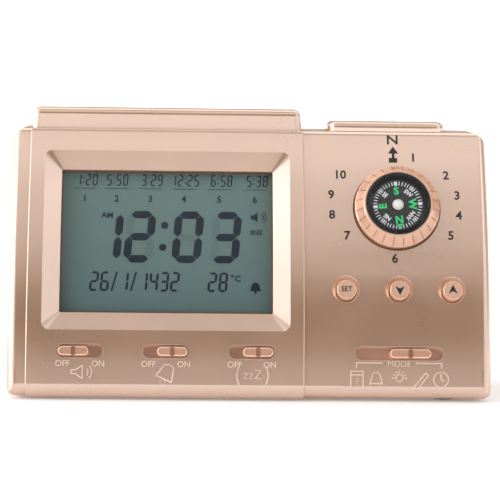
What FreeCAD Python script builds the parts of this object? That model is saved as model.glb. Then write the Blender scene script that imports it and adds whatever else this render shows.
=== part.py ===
# Desk clock with a sloping convex face: a wide LCD panel on the left, a city dial
# with a liquid compass in it on the right, three round keys, four slide switches
# along the bottom and two long keys on top.
# Millimetres. +X is to the viewer's right, +Y is to the back, +Z is up.
# The origin is on the table, under the middle of the whole clock.
# "Works frame": x as above, u up the face, n out of the face. Everything that is
# drawn through the face (window, dial, round keys, circuit board) is square to it.
import FreeCAD
import Part
import math
import os

V = FreeCAD.Vector

# Whole clock
overall_width = 150.0
overall_depth = 50.0
foot_stand = 0.8
body_top = 82.3
wall = 2.0
rear_cover_depth = 5.0

# Face: one big arc, leaning back more and more towards its top
face_radius = 203.0
face_low_lean = 8.5
lip_radius = 3.7
works_lean = 22.0
side_edge_radius = 3.0
crest_radius = 2.6
rear_edge_radius = 2.5
side_section_depth = 90.0
side_section_turn = 22.0
top_corner_radius = 4.5
bottom_corner_radius = 3.5

# Raised LCD panel
panel_raise = 0.7
panel_inset = 5.75
panel_width = 86.15
panel_edge_radius = 0.5

# LCD surround and window; heights are measured along the face from its lower end
recess_from_panel = 43.25
recess_centre_s = 45.7
recess_width = 77.0
recess_height = 58.2
recess_depth = 2.5
recess_corner_radius = 2.4
recess_over = 1.5
window_width = 66.3
window_height = 46.8
window_corner_radius = 0.6
window_edge_thickness = 1.2
lens_thickness = 1.0
lens_overlap = 1.4
backing_margin = 2.0
backing_rear_n = -6.0

# LCD module behind the window
lcd_width = 74.0
lcd_height = 52.6
lcd_thickness = 2.2
lcd_frame_wall = 1.4
connector_width = 2.2
connector_inset = 1.2
guide_side_gap = 3.0
guide_corner_radius = 1.5
connector_end_gap = 2.0
lcd_frame_corner_radius = 1.2
led_width = 3.0
led_height = 1.8

# Main circuit board
board_front_n = -12.1
board_thickness = 1.6
board_side_gap = 9.0
board_low_u = -41.5
board_high_u = 26.0
board_notch_width = 3.0
board_notch_height = 8.0
post_diameter = 3.6
post_beside_panel = 0.7
post_from_side = 11.6
post_left_u = [21.0, -14.0]
post_right_u = [22.0, -28.6]
post_low_u = -36.6
board_screw_diameter = 1.7
board_screw_head = 3.4
board_screw_length = 7.0
board_screw_head_height = 1.2
chip_x = 28.0
chip_u = 8.0
chip_size = 12.0
chip_height = 1.4
crystal_u = -6.0
crystal_length = 10.0
crystal_width = 4.0
crystal_height = 3.4

# City dial and its compass
dial_u = 8.5
dial_radius = 13.3
dial_seat_depth = 1.2
dial_side_top_n = 2.4
dial_rim_n = 5.5
dial_rim_width = 0.5
dial_edge = 0.3
dial_collar_radius = 15.2
dial_collar_depth = 3.6
dial_journal_radius = 10.9
dial_floor_thickness = 2.3
dial_rib_count = 24
dial_rib_width = 0.22
dial_rib_depth = 0.12
dial_pointer_width = 1.6
dial_pointer_length = 1.6
dial_pointer_rise = 0.5
dial_floor_drop = 0.6
dial_shaft_floor = 1.0
compass_radius = 10.0
compass_floor = 1.2
compass_wall = 0.7
compass_lens_thickness = 0.8
compass_lens_dome = 0.5
compass_case_gap = 0.05
card_radius = 8.3
card_thickness = 0.5
card_below_rim = 2.1
card_hub_radius = 1.75
card_hub_rise = 0.7
card_cap_radius = 1.45
card_cap_rise = 1.2
card_magnet_width = 2.4
card_magnet_length = 11.0
card_magnet_thickness = 0.9
card_bore_rise = 1.2
pivot_radius = 0.5
pivot_foot_radius = 1.6
pivot_foot_height = 0.8
rotary_size = 13.0
rotary_height = 4.6
rotary_corner_radius = 0.8
rotary_floor = 1.0
rotary_collar_rise = 0.3
rotary_shaft_radius = 2.0
rotary_shaft_flat = 1.4
rotary_boss_radius = 3.4
rotary_boss_length = 2.6

# Round keys
key_left_margin = 12.9
key_right_margin = 12.2
key_names = ["set_key", "down_key", "up_key"]
key_u = -18.35
key_radius = 3.1
key_top_n = 1.7
key_top_radius = 0.45
key_flange_radius = 4.2
key_flange_thickness = 0.9
key_pad_radius = 6.2
key_pad_n = -3.4
key_dish_radius = 4.3
key_dish_depth = 0.55
key_stem_radius = 1.5
key_travel = 0.8
tact_size = 6.0
tact_height = 3.4
tact_corner_radius = 0.4
tact_plunger_radius = 1.7
tact_plunger_rise = 0.4

# Slide switches along the bottom of the face
slide_s = 10.1
slide_names = ["call_slide", "alarm_slide", "snooze_slide"]
slide_pitch = 26.475
slide_at_right = [False, True, True]
slide_slot_length = 14.0
slide_slot_height = 4.0
slide_cap_length = 9.5
slide_cap_height = 2.9
slide_travel = 4.0
slide_cut_depth = 6.0
slide_cut_rise = 10.0
slide_cap_rise = 1.2
slide_cap_edge = 0.45
slide_groove_width = 0.8
slide_groove_depth = 0.7
slide_lip_width = 0.35
slide_lip_rise = 0.25
slide_plate_height = 7.0
slide_plate_thickness = 1.0
slide_plate_margin = 0.1
mode_off_centre = 0.25
mode_slot_length = 27.3
mode_cap_length = 12.9
mode_steps = 4
mode_step = 3.5
mode_rest_step = 3
mode_plate_spare = 6.1
lever_width = 1.6
lever_clearance = 0.1
lever_top_n = -7.5
prong_thickness = 1.0
prong_width = 3.0
switch_height = 2.4
switch_depth = 4.4
switch_floor = 0.8
switch_margin = 4.0

# Long keys on the top
bar_end_inset = 0.225
bar_front_y = 6.1
bar_depth = 11.6
bar_stand = 6.45
bar_draft = 0.6
bar_edge_radius = 2.0
bar_corner_radius = 2.2
bar_wall = 1.6
bar_travel = 1.2
top_key_left_margin = 7.9
top_key_right_margin = 12.7
top_key_stand = 3.0
top_key_edge_radius = 1.9
top_key_corner_radius = 3.4
top_key_travel = 1.0
top_gap = 0.3
top_flange = 0.7
top_flange_thickness = 1.0
flange_gap = 0.15
top_board_thickness = 1.6
top_board_side_gap = 11.5
top_board_front_y = 7.4
top_board_depth = 11.6
bar_switch_inset = 20.0
pusher_radius = 2.2
pusher_gap = 0.1
top_board_spare = 0.6

# Rear cover, battery bay and door
tongue_length = 1.8
tongue_thickness = 1.1
tongue_top = 12.0
fit_gap = 0.15
case_post_from_side = 6.6
case_post_low_z = 6.6
case_post_high_z = 73.4
case_post_radius = 2.8
case_screw_shank = 2.6
case_screw_head = 5.0
case_screw_head_height = 1.8
screw_cross_width = 0.7
screw_cross_depth = 0.9
screw_cross_share = 0.6
case_screw_length = 10.0
screw_hole_gap = 0.05
screw_well_depth = 3.0
screw_well_wall = 1.4
rib_thickness = 2.0
rib_from_side = 15.0
rib_beside_panel = 3.9
rib_pitch = 34.8
rib_reach = 9.0
rib_drop = 12.0
speaker_from_side = 37.0
speaker_cap_radius = 4.6
speaker_cap_rise = 1.2
speaker_cone_depth = 4.6
speaker_cone_thickness = 0.3
speaker_basket_lip = 2.6
speaker_z = 46.0
speaker_radius = 18.0
speaker_rim = 1.5
speaker_depth = 10.5
speaker_magnet_radius = 9.0
speaker_magnet_height = 4.2
speaker_seat_gap = 0.1
speaker_rib_thickness = 1.2
speaker_rib_height = 2.4
grille_radius = 14.5
grille_slot = 1.5
grille_pitch = 3.1
grille_reach = 10.0
cell_radius = 5.25
cell_length = 44.5
cell_nub_length = 1.2
cell_nub_radius = 1.9
cell_edge_radius = 0.5
cell_contact_gap = 0.1
cell_count = 3
cell_pitch = 10.9
cell_low_z = 15.6
bay_centre_x = 20.0
bay_length = 51.6
bay_side_gap = 0.3
bay_wall = 2.0
door_ledge = 1.0
door_seat_gap = 0.1
door_thickness = 1.8
door_gap = 0.2
door_trunnion_radius = 0.6
door_trunnion_length = 1.2
door_running_gap = 0.08
door_tongue_width = 12.0
door_tongue_length = 7.0
door_slit = 0.9
door_groove_count = 4
door_groove_pitch = 1.2
door_groove_width = 0.6
door_groove_depth = 0.35
door_groove_from_top = 2.0
door_groove_end_gap = 1.5
scoop_radius = 7.0
scoop_depth = 0.9
contact_plate_size = 8.0
contact_plate_thickness = 0.4
spring_wire_radius = 0.36
spring_wire_sides = 8
spring_radius = 3.0
spring_turns = 4.5
spring_gap = 0.08

# Feet
foot_radius = 4.0
foot_sunk = 0.5
foot_edge = 0.3
foot_from_side = 14.0
foot_front_y = -14.0
foot_rear_y = 14.5

running_gap = 0.08
clear_gap = 0.2

# Worked out from the values above
half_width = overall_width / 2
half_depth = overall_depth / 2
split_y = half_depth - rear_cover_depth
panel_left = panel_inset - half_width
panel_right = panel_left + panel_width
column_width = half_width - panel_right
column_centre = (half_width + panel_right) / 2
recess_centre_x = panel_left + recess_from_panel
slide_slot_x = [recess_centre_x + place * slide_pitch for place in (-1, 0, 1)]
mode_slot_x = column_centre + mode_off_centre
mode_plate_length = column_width - mode_steps * mode_step - mode_plate_spare
dial_x = column_centre
key_first_x = panel_right + key_left_margin
key_last_x = half_width - key_right_margin
key_x = [key_first_x, (key_first_x + key_last_x) / 2, key_last_x]
bar_left = panel_left + bar_end_inset
bar_right = panel_right - bar_end_inset
top_key_left = panel_right + top_key_left_margin
top_key_right = half_width - top_key_right_margin
board_half_width = half_width - board_side_gap
top_board_half_width = half_width - top_board_side_gap
case_post_x = half_width - case_post_from_side
foot_x = half_width - foot_from_side
speaker_x = speaker_from_side - half_width
rib_by_panel = panel_right + rib_beside_panel
rib_x = [rib_from_side - half_width, rib_by_panel - rib_pitch, rib_by_panel, half_width - rib_from_side]
low_lean = math.radians(face_low_lean)
draw_lean = math.radians(works_lean)
lip_centre_y = -half_depth + panel_raise + lip_radius
lip_centre_z = foot_stand + lip_radius
arc_centre_y = lip_centre_y + (face_radius - lip_radius) * math.cos(low_lean)
arc_centre_z = lip_centre_z - (face_radius - lip_radius) * math.sin(low_lean)
works_s = (draw_lean - low_lean) * face_radius
works_origin = V(
    0,
    arc_centre_y - face_radius * math.cos(draw_lean),
    arc_centre_z + face_radius * math.sin(draw_lean),
)
reach = 300.0
cut_depth = 20.0
overlap = 0.2
spare_cut = 1.0

parts = {}


def box(x0, x1, y0, y1, z0, z1):
    return Part.makeBox(x1 - x0, y1 - y0, z1 - z0, V(x0, y0, z0))


def cylinder(x, y, z0, z1, radius):
    return Part.makeCylinder(radius, z1 - z0, V(x, y, z0), V(0, 0, 1))


def cylinder_y(x, z, y0, y1, radius):
    return Part.makeCylinder(radius, y1 - y0, V(x, y0, z), V(0, 1, 0))


def cylinder_x(y, z, x0, x1, radius):
    return Part.makeCylinder(radius, x1 - x0, V(x0, y, z), V(1, 0, 0))


def rounded_block(x0, x1, y0, y1, z0, z1, radius):
    block = box(x0, x1, y0, y1, z0, z1)
    upright = [e for e in block.Edges if abs(e.Vertexes[0].Z - e.Vertexes[1].Z) > 1e-6]
    return block.makeFillet(radius, upright)


def level_edges(shape, z):
    return [e for e in shape.Edges if all(abs(v.Z - z) < 1e-6 for v in e.Vertexes)]


def stadium(centre_x, centre_y, length, height, z0, z1):
    radius = height / 2
    half = length / 2 - radius
    middle = box(centre_x - half, centre_x + half, centre_y - radius, centre_y + radius, z0, z1)
    ends = [cylinder(centre_x + side * half, centre_y, z0, z1, radius) for side in (-1, 1)]
    return middle.fuse(ends).removeSplitter()


def frame_at(lean, origin):
    return FreeCAD.Placement(origin, FreeCAD.Rotation(V(1, 0, 0), 90 - math.degrees(lean)))


def from_works(shape):
    moved = shape.copy()
    moved.Placement = frame_at(draw_lean, works_origin).multiply(moved.Placement)
    return moved


def lean_at(s):
    return low_lean + s / face_radius


def on_face(shape, s):
    lean = lean_at(s)
    origin = V(
        0,
        arc_centre_y - face_radius * math.cos(lean),
        arc_centre_z + face_radius * math.sin(lean),
    )
    moved = shape.copy()
    moved.Placement = frame_at(lean, origin).multiply(moved.Placement)
    return moved


def works_u(s, off=0.0):
    return (face_radius + off) * math.sin((s - works_s) / face_radius)


def works_n(s, off=0.0):
    return (face_radius + off) * math.cos((s - works_s) / face_radius) - face_radius


def swept_band(points, mid_s, half_s):
    # a closed outline of (x, height over the face), carried along the face's arc
    outline = [V(x, 0, n) for x, n in points]
    face = Part.Face(Part.makePolygon(outline + [outline[0]]))
    axis = V(0, 0, -face_radius)
    half_turn = math.degrees(half_s / face_radius)
    start = math.degrees((works_s - mid_s) / face_radius) - half_turn
    face.rotate(axis, V(1, 0, 0), start)
    return face.revolve(axis, V(1, 0, 0), 2 * half_turn)


def face_band(x0, x1, mid_s, half_s, n_low, n_high):
    return swept_band([(x0, n_low), (x1, n_low), (x1, n_high), (x0, n_high)], mid_s, half_s)


def side_profile(inset, x):
    # the clock seen from its side: lip, face arc, rounded crest, top, back and underside
    lip = lip_radius - inset
    big = face_radius - inset
    crest = crest_radius - inset
    back = rear_edge_radius - inset
    top = body_top - inset
    bottom = lip_centre_z - lip
    rear = half_depth - inset
    crest_z = top - crest
    crest_y = arc_centre_y - math.sqrt((big - crest) ** 2 - (crest_z - arc_centre_z) ** 2)
    crest_lean = math.atan2(crest_z - arc_centre_z, arc_centre_y - crest_y)

    def around(centre_y, centre_z, radius, angle):
        return V(x, centre_y - radius * math.cos(angle), centre_z + radius * math.sin(angle))

    def rounded(centre_y, centre_z, radius, start, end):
        turns = [start, (start + end) / 2, end]
        points = [around(centre_y, centre_z, radius, turn) for turn in turns]
        return Part.Arc(*points).toShape()

    quarter = math.pi / 2
    edges = [
        rounded(lip_centre_y, lip_centre_z, lip, -quarter, low_lean),
        rounded(arc_centre_y, arc_centre_z, big, low_lean, crest_lean),
        rounded(crest_y, crest_z, crest, crest_lean, quarter),
        Part.makeLine(V(x, crest_y, top), V(x, rear - back, top)),
        rounded(rear - back, top - back, back, quarter, 2 * quarter),
        Part.makeLine(V(x, rear, top - back), V(x, rear, bottom + back)),
        rounded(rear - back, bottom + back, back, 2 * quarter, 3 * quarter),
        Part.makeLine(V(x, rear - back, bottom), V(x, lip_centre_y, bottom)),
    ]
    return Part.Face(Part.Wire(edges))


def rounded_prism(block, direction, radius, test):
    # rounds those edges of a plain block that run along one direction and pass the test
    picked = []
    for edge in block.Edges:
        run = edge.Vertexes[1].Point.sub(edge.Vertexes[0].Point)
        if abs(run.dot(direction)) > 0.999 * run.Length and test(edge.CenterOfMass):
            picked.append(edge)
    return block.makeFillet(radius, picked)


def face_section(inset):
    # the face's two long side edges, rounded along the arc
    x = half_width - inset
    radius = side_edge_radius - inset
    depth = -side_section_depth
    section = Part.Wire([
        Part.makeLine(V(-x, 0, depth), V(x, 0, depth)),
        Part.makeLine(V(x, 0, depth), V(x, 0, -inset - radius)),
        Part.Arc(
            V(x, 0, -inset - radius),
            V(x - radius * (1 - math.sqrt(0.5)), 0, -inset - radius * (1 - math.sqrt(0.5))),
            V(x - radius, 0, -inset),
        ).toShape(),
        Part.makeLine(V(x - radius, 0, -inset), V(radius - x, 0, -inset)),
        Part.Arc(
            V(radius - x, 0, -inset),
            V(radius * (1 - math.sqrt(0.5)) - x, 0, -inset - radius * (1 - math.sqrt(0.5))),
            V(-x, 0, -inset - radius),
        ).toShape(),
        Part.makeLine(V(-x, 0, -inset - radius), V(-x, 0, depth)),
    ])
    face = Part.Face(section)
    axis = V(0, 0, -face_radius)
    face.rotate(axis, V(1, 0, 0), -side_section_turn)
    return from_works(face.revolve(axis, V(1, 0, 0), 2 * side_section_turn))


def case_solid(inset):
    x = half_width - inset
    low = foot_stand + inset
    top = body_top - inset
    rear = half_depth - inset
    solid = side_profile(inset, -x).extrude(V(2 * x, 0, 0))
    middle = (low + top) / 2
    front = box(-x, x, -reach, reach, low, top)
    front = rounded_prism(front, V(0, 1, 0), top_corner_radius - inset, lambda c: c.z > middle)
    front = rounded_prism(front, V(0, 1, 0), bottom_corner_radius - inset, lambda c: c.z < middle)
    plan = box(-x, x, -reach, rear, -reach, reach)
    plan = rounded_prism(plan, V(0, 0, 1), rear_edge_radius - inset, lambda c: c.y > 0)
    return solid.common(face_section(inset)).common(front).common(plan)


def lcd_panel():
    # the whole panel stands a little proud of the face and rounds under at the lip
    panel = side_profile(-panel_raise, panel_left).extrude(V(panel_width, 0, 0))
    rim = face_radius + panel_raise

    def on_side_arc(edge):
        middle = edge.valueAt((edge.FirstParameter + edge.LastParameter) / 2)
        off = math.hypot(middle.y - arc_centre_y, middle.z - arc_centre_z)
        return abs(edge.Vertexes[0].X - edge.Vertexes[-1].X) < 1e-6 and abs(off - rim) < 1e-3

    panel = panel.makeFillet(panel_edge_radius, [e for e in panel.Edges if on_side_arc(e)])
    return panel.common(box(-reach, reach, -reach, bar_front_y, foot_stand, body_top))


def recess_edges():
    # (u, n) of the surround's inner and outer edges at its lower and upper end
    edges = []
    for side in (-1, 1):
        inner_s = recess_centre_s + side * window_height / 2
        outer_s = recess_centre_s + side * recess_height / 2
        floor_n = panel_raise - recess_depth
        inner = V(0, works_u(inner_s, floor_n), works_n(inner_s, floor_n))
        outer = V(0, works_u(outer_s, panel_raise), works_n(outer_s, panel_raise))
        edges.append((inner, outer))
    return edges


def window_recess():
    # sloping surround: a swept trapezium, its two ends cut by sloping planes
    floor_n = panel_raise - recess_depth
    grow_x = (recess_width - window_width) / 2 / recess_depth * recess_over
    x_in = window_width / 2
    x_out = recess_width / 2 + grow_x
    outline = [
        (recess_centre_x - x_in, floor_n),
        (recess_centre_x + x_in, floor_n),
        (recess_centre_x + x_out, panel_raise + recess_over),
        (recess_centre_x - x_out, panel_raise + recess_over),
    ]
    swept = swept_band(outline, recess_centre_s, recess_height)
    (low_in, low_out), (high_in, high_out) = recess_edges()
    low_slope = low_out.sub(low_in)
    high_slope = high_out.sub(high_in)
    bulge = 3.0
    corners = [
        low_in.sub(low_slope),
        low_out.add(low_slope * bulge),
        high_out.add(high_slope * bulge),
        high_in.sub(high_slope),
    ]
    corners = [c.add(V(-reach, 0, 0)) for c in corners]
    wedge = Part.Face(Part.makePolygon(corners + [corners[0]])).extrude(V(2 * reach, 0, 0))
    recess = swept.common(wedge)

    def slanted(edge):
        run = edge.Vertexes[-1].Point.sub(edge.Vertexes[0].Point)
        return min(abs(run.x), abs(run.y), abs(run.z)) > recess_depth / 4

    return recess.makeFillet(window_corner_radius, recess_corner_radius,
                             [e for e in recess.Edges if slanted(e)])


def window_opening():
    (low_in, low_out), (high_in, high_out) = recess_edges()
    x0 = recess_centre_x - window_width / 2
    x1 = recess_centre_x + window_width / 2
    return rounded_block(x0, x1, low_in.y, high_in.y, -cut_depth, 0, window_corner_radius)


lens_top_n = panel_raise - recess_depth - window_edge_thickness
lens_half_x = window_width / 2 + lens_overlap
lens_half_s = window_height / 2 + lens_overlap


def lens_band(gap, low):
    x0 = recess_centre_x - lens_half_x - gap
    x1 = recess_centre_x + lens_half_x + gap
    return face_band(x0, x1, recess_centre_s, lens_half_s + gap, low, lens_top_n)


def window_backing():
    x = recess_width / 2 + backing_margin
    half_s = recess_height / 2 + backing_margin
    deep = 3 * backing_rear_n
    band = face_band(recess_centre_x - x, recess_centre_x + x, recess_centre_s, half_s, deep, -wall / 2)
    return band.common(box(-reach, reach, -reach, reach, backing_rear_n, reach))


def board_posts():
    left_x = panel_right + post_beside_panel
    right_x = half_width - post_from_side
    places = [(left_x, u) for u in post_left_u]
    places += [(right_x, u) for u in post_right_u]
    places += [((a + b) / 2, post_low_u) for a, b in zip(slide_slot_x, slide_slot_x[1:])]
    return places


def slide_plate_length():
    return slide_slot_length + slide_travel + 2 * slide_plate_margin


def key_centres():
    return [(x, key_u) for x in key_x]


def slide_shift(at_right):
    return slide_travel / 2 if at_right else -slide_travel / 2


def slide_places():
    places = []
    for name, x, right in zip(slide_names, slide_slot_x, slide_at_right):
        places.append((name, x, x + slide_shift(right), slide_slot_length, slide_cap_length))
    shift = (mode_rest_step - mode_steps / 2) * mode_step
    places.append(("mode_slide", mode_slot_x, mode_slot_x + shift, mode_slot_length, mode_cap_length))
    return places


def surface_rise(x):
    return panel_raise if panel_left < x < panel_right else 0.0


def case_posts():
    return [(x, z) for x in (-case_post_x, case_post_x) for z in (case_post_low_z, case_post_high_z)]


def foot_places():
    return [(x, y) for x in (-foot_x, foot_x) for y in (foot_front_y, foot_rear_y)]


bar_opening = (bar_left - top_gap, bar_right + top_gap)
top_key_opening = (top_key_left - top_gap, top_key_right + top_gap)


def top_openings():
    openings = []
    for x0, x1 in (bar_opening, top_key_opening):
        y0 = bar_front_y - top_gap
        y1 = bar_front_y + bar_depth + top_gap
        openings.append(rounded_block(x0, x1, y0, y1, body_top - 3 * wall, reach, bar_corner_radius))
    return openings


def front_half():
    return box(-reach, reach, -reach, split_y, -reach, reach)


def front_housing():
    outer = case_solid(0).fuse(lcd_panel())
    shell = outer.common(front_half()).cut(case_solid(wall))
    inner_limit = case_solid(wall / 2).common(front_half())
    added = [from_works(window_backing()).common(inner_limit)]
    works_adds = [cylinder(x, u, board_front_n, 0, post_diameter / 2) for x, u in board_posts()]
    works_adds += [cylinder(x, u, key_pad_n, 0, key_pad_radius) for x, u in key_centres()]
    works_adds.append(cylinder(dial_x, dial_u, -dial_collar_depth, 0, dial_collar_radius))
    added += [from_works(shape).common(inner_limit) for shape in works_adds]
    for x, z in case_posts():
        post = cylinder_y(x, z, -half_depth, split_y - fit_gap, case_post_radius)
        added.append(post.common(inner_limit))
    housing = shell.fuse(added)
    cuts = [from_works(window_recess()), from_works(window_opening())]
    pocket = lens_band(fit_gap, 3 * backing_rear_n)
    cuts.append(from_works(pocket.common(box(-reach, reach, -reach, reach, 1.2 * backing_rear_n, 0))))
    for x, u in key_centres():
        rise = works_n_at_u(u)
        cuts.append(from_works(cylinder(x, u, -cut_depth, cut_depth, key_radius + clear_gap)))
        dish = Part.makeCone(key_radius + clear_gap, key_dish_radius + spare_cut, dish_cone_height(),
                             V(x, u, rise - key_dish_depth), V(0, 0, 1))
        cuts.append(from_works(dish))
    seat_bore = dial_radius + 2 * clear_gap
    cuts.append(from_works(cylinder(dial_x, dial_u, -dial_seat_depth, cut_depth, seat_bore)))
    journal_bore = dial_journal_radius + running_gap
    cuts.append(from_works(cylinder(dial_x, dial_u, -cut_depth, cut_depth, journal_bore)))
    lips = []
    for name, slot, rest, length, cap in slide_places():
        rise = surface_rise(slot)
        wide = stadium(slot, 0, length + 2 * slide_lip_width, slide_slot_height + 2 * slide_lip_width,
                       -wall / 2, rise + slide_lip_rise)
        lips.append(on_face(wide, slide_s))
        cuts.append(on_face(stadium(slot, 0, length, slide_slot_height, -slide_cut_depth, slide_cut_rise),
                            slide_s))
    housing = housing.fuse(lips)
    for x, u in board_posts():
        cuts.append(from_works(cylinder(x, u, board_front_n - spare_cut, board_front_n + board_screw_length,
                                        board_screw_diameter / 2 + screw_hole_gap)))
    for x, z in case_posts():
        cuts.append(cylinder_y(x, z, split_y - case_screw_length, split_y + spare_cut,
                               case_screw_shank / 2 + screw_hole_gap))
    cuts += top_openings()
    for x, y in foot_places():
        cuts.append(cylinder(x, y, 0, foot_stand + foot_sunk, foot_radius + fit_gap))
    return housing.cut(cuts).removeSplitter()


def works_n_at_u(u):
    return math.sqrt(face_radius ** 2 - u ** 2) - face_radius


def dish_cone_height():
    widen = key_dish_radius - key_radius - clear_gap
    return key_dish_depth * (widen + spare_cut) / widen


def lcd_parts():
    centre_u = works_u(recess_centre_s)
    half_x = lcd_width / 2
    half_u = lcd_height / 2
    x0 = recess_centre_x - half_x
    x1 = recess_centre_x + half_x
    top_n = backing_rear_n - clear_gap
    back_n = top_n - lcd_thickness
    parts["lcd_window"] = from_works(lens_band(0, lens_top_n - lens_thickness))
    cell = box(x0, x1, centre_u - half_u, centre_u + half_u, back_n, top_n)
    parts["lcd_cell"] = from_works(cell)
    strips = []
    for side in (-1, 1):
        mid_u = centre_u + side * (half_u - connector_inset - connector_width / 2)
        strips.append(box(x0 + connector_end_gap, x1 - connector_end_gap, mid_u - connector_width / 2,
                          mid_u + connector_width / 2, board_front_n, back_n))
    parts["lcd_connectors"] = from_works(Part.Compound(strips))
    guide_u = half_u - connector_inset - connector_width - clear_gap
    guide = rounded_block(x0 + guide_side_gap, x1 - guide_side_gap, centre_u - guide_u,
                          centre_u + guide_u, board_front_n, back_n - clear_gap, guide_corner_radius)
    parts["light_guide"] = from_works(guide)
    led = box(x1 - guide_side_gap + clear_gap, x1 - clear_gap, centre_u - led_width / 2,
              centre_u + led_width / 2, board_front_n, board_front_n + led_height)
    parts["backlight_led"] = from_works(led)
    gap = fit_gap
    outer = rounded_block(x0 - gap - lcd_frame_wall, x1 + gap + lcd_frame_wall,
                          centre_u - half_u - gap - lcd_frame_wall,
                          centre_u + half_u + gap + lcd_frame_wall, board_front_n, top_n,
                          lcd_frame_corner_radius)
    inner = box(x0 - gap, x1 + gap, centre_u - half_u - gap, centre_u + half_u + gap, -reach, reach)
    parts["lcd_frame"] = from_works(outer.cut(inner))


def board_parts():
    low_n = board_front_n - board_thickness
    board = box(-board_half_width, board_half_width, board_low_u, board_high_u, low_n, board_front_n)
    notches = []
    for side in (-1, 1):
        x = side * board_half_width
        notches.append(box(x - board_notch_width, x + board_notch_width, board_low_u - spare_cut,
                           board_low_u + board_notch_height, low_n - spare_cut, board_front_n + spare_cut))
    hole_radius = board_screw_diameter / 2 + fit_gap
    holes = [cylinder(x, u, low_n - spare_cut, board_front_n + spare_cut, hole_radius)
             for x, u in board_posts()]
    parts["main_board"] = from_works(board.cut(notches + holes))
    screws = []
    for x, u in board_posts():
        shank = cylinder(x, u, low_n, low_n + board_screw_length, board_screw_diameter / 2)
        head = cylinder(x, u, low_n - board_screw_head_height, low_n, board_screw_head / 2)
        screws.append(from_works(shank.fuse(head).removeSplitter()))
    parts["board_screws"] = Part.Compound(screws)
    half = chip_size / 2
    chip = box(chip_x - half, chip_x + half, chip_u - half, chip_u + half, low_n - chip_height, low_n)
    parts["controller_chip"] = from_works(chip)
    crystal = stadium(chip_x, crystal_u, crystal_length, crystal_width, low_n - crystal_height, low_n)
    parts["clock_crystal"] = from_works(crystal)


def tact(size, height, rise):
    half = size / 2
    body = rounded_block(-half, half, -half, half, 0, height, tact_corner_radius)
    return body.fuse(cylinder(0, 0, height, height + rise, tact_plunger_radius)).removeSplitter()


def key_parts():
    tact_top = board_front_n + tact_height + tact_plunger_rise
    for name, (x, u) in zip(key_names, key_centres()):
        cap = cylinder(x, u, key_pad_n - fit_gap, key_top_n, key_radius)
        cap = cap.makeFillet(key_top_radius, level_edges(cap, key_top_n))
        flange_top = key_pad_n - fit_gap
        flange = cylinder(x, u, flange_top - key_flange_thickness, flange_top, key_flange_radius)
        stem = cylinder(x, u, tact_top + key_travel + pusher_gap, flange_top, key_stem_radius)
        parts[name] = from_works(cap.fuse([flange, stem]).removeSplitter())
        switch = tact(tact_size, tact_height, tact_plunger_rise)
        switch.translate(V(x, u, board_front_n))
        parts[name.replace("_key", "_switch")] = from_works(switch)


def slide_parts():
    plate_top = -wall - clear_gap
    plate_low = plate_top - slide_plate_thickness
    mid_u = works_u(slide_s)
    for name, slot, rest, length, cap_length in slide_places():
        rise = surface_rise(slot)
        top = rise + slide_cap_rise
        cap = stadium(rest, 0, cap_length, slide_cap_height, plate_top - overlap, top)
        cap = cap.makeFillet(slide_cap_edge, level_edges(cap, top))
        half_groove = slide_groove_width / 2
        cap = cap.cut(box(rest - half_groove, rest + half_groove, -reach, reach,
                          top - slide_groove_depth, reach))
        long = mode_plate_length if name == "mode_slide" else slide_plate_length()
        plate = face_band(rest - long / 2, rest + long / 2, slide_s, slide_plate_height / 2,
                          plate_low, plate_top)
        half_lever = lever_width / 2
        prongs = []
        root_n = works_n(slide_s, plate_low) + 2 * overlap
        for side in (-1, 1):
            near = side * (half_lever + lever_clearance)
            far = side * (half_lever + lever_clearance + prong_thickness)
            x0 = rest + min(near, far)
            x1 = rest + max(near, far)
            prongs.append(from_works(box(x0, x1, mid_u - prong_width / 2, mid_u + prong_width / 2,
                                         board_front_n + switch_height + clear_gap, root_n)))
        knob = on_face(cap, slide_s).fuse([from_works(plate)] + prongs).removeSplitter()
        parts[name] = knob
        span = length - cap_length
        body_half = span / 2 + lever_width / 2 + switch_margin
        switch = box(slot - body_half, slot + body_half, mid_u - switch_depth / 2,
                     mid_u + switch_depth / 2, board_front_n, board_front_n + switch_height)
        window_half = span / 2 + half_lever + lever_clearance
        slot_cut = box(slot - window_half, slot + window_half, mid_u - half_lever - lever_clearance,
                       mid_u + half_lever + lever_clearance, board_front_n + switch_floor, 0)
        parts[name.replace("_slide", "_slide_switch")] = from_works(switch.cut(slot_cut))
        lever = box(rest - half_lever, rest + half_lever, mid_u - half_lever, mid_u + half_lever,
                    board_front_n + switch_floor + lever_clearance, lever_top_n)
        parts[name.replace("_slide", "_lever")] = from_works(lever)


def revolved(points, x, u):
    outline = [V(r, 0, n) for r, n in points]
    face = Part.Face(Part.makePolygon(outline + [outline[0]]))
    solid = face.revolve(V(0, 0, 0), V(0, 0, 1), 360)
    solid.translate(V(x, u, 0))
    return solid


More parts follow.
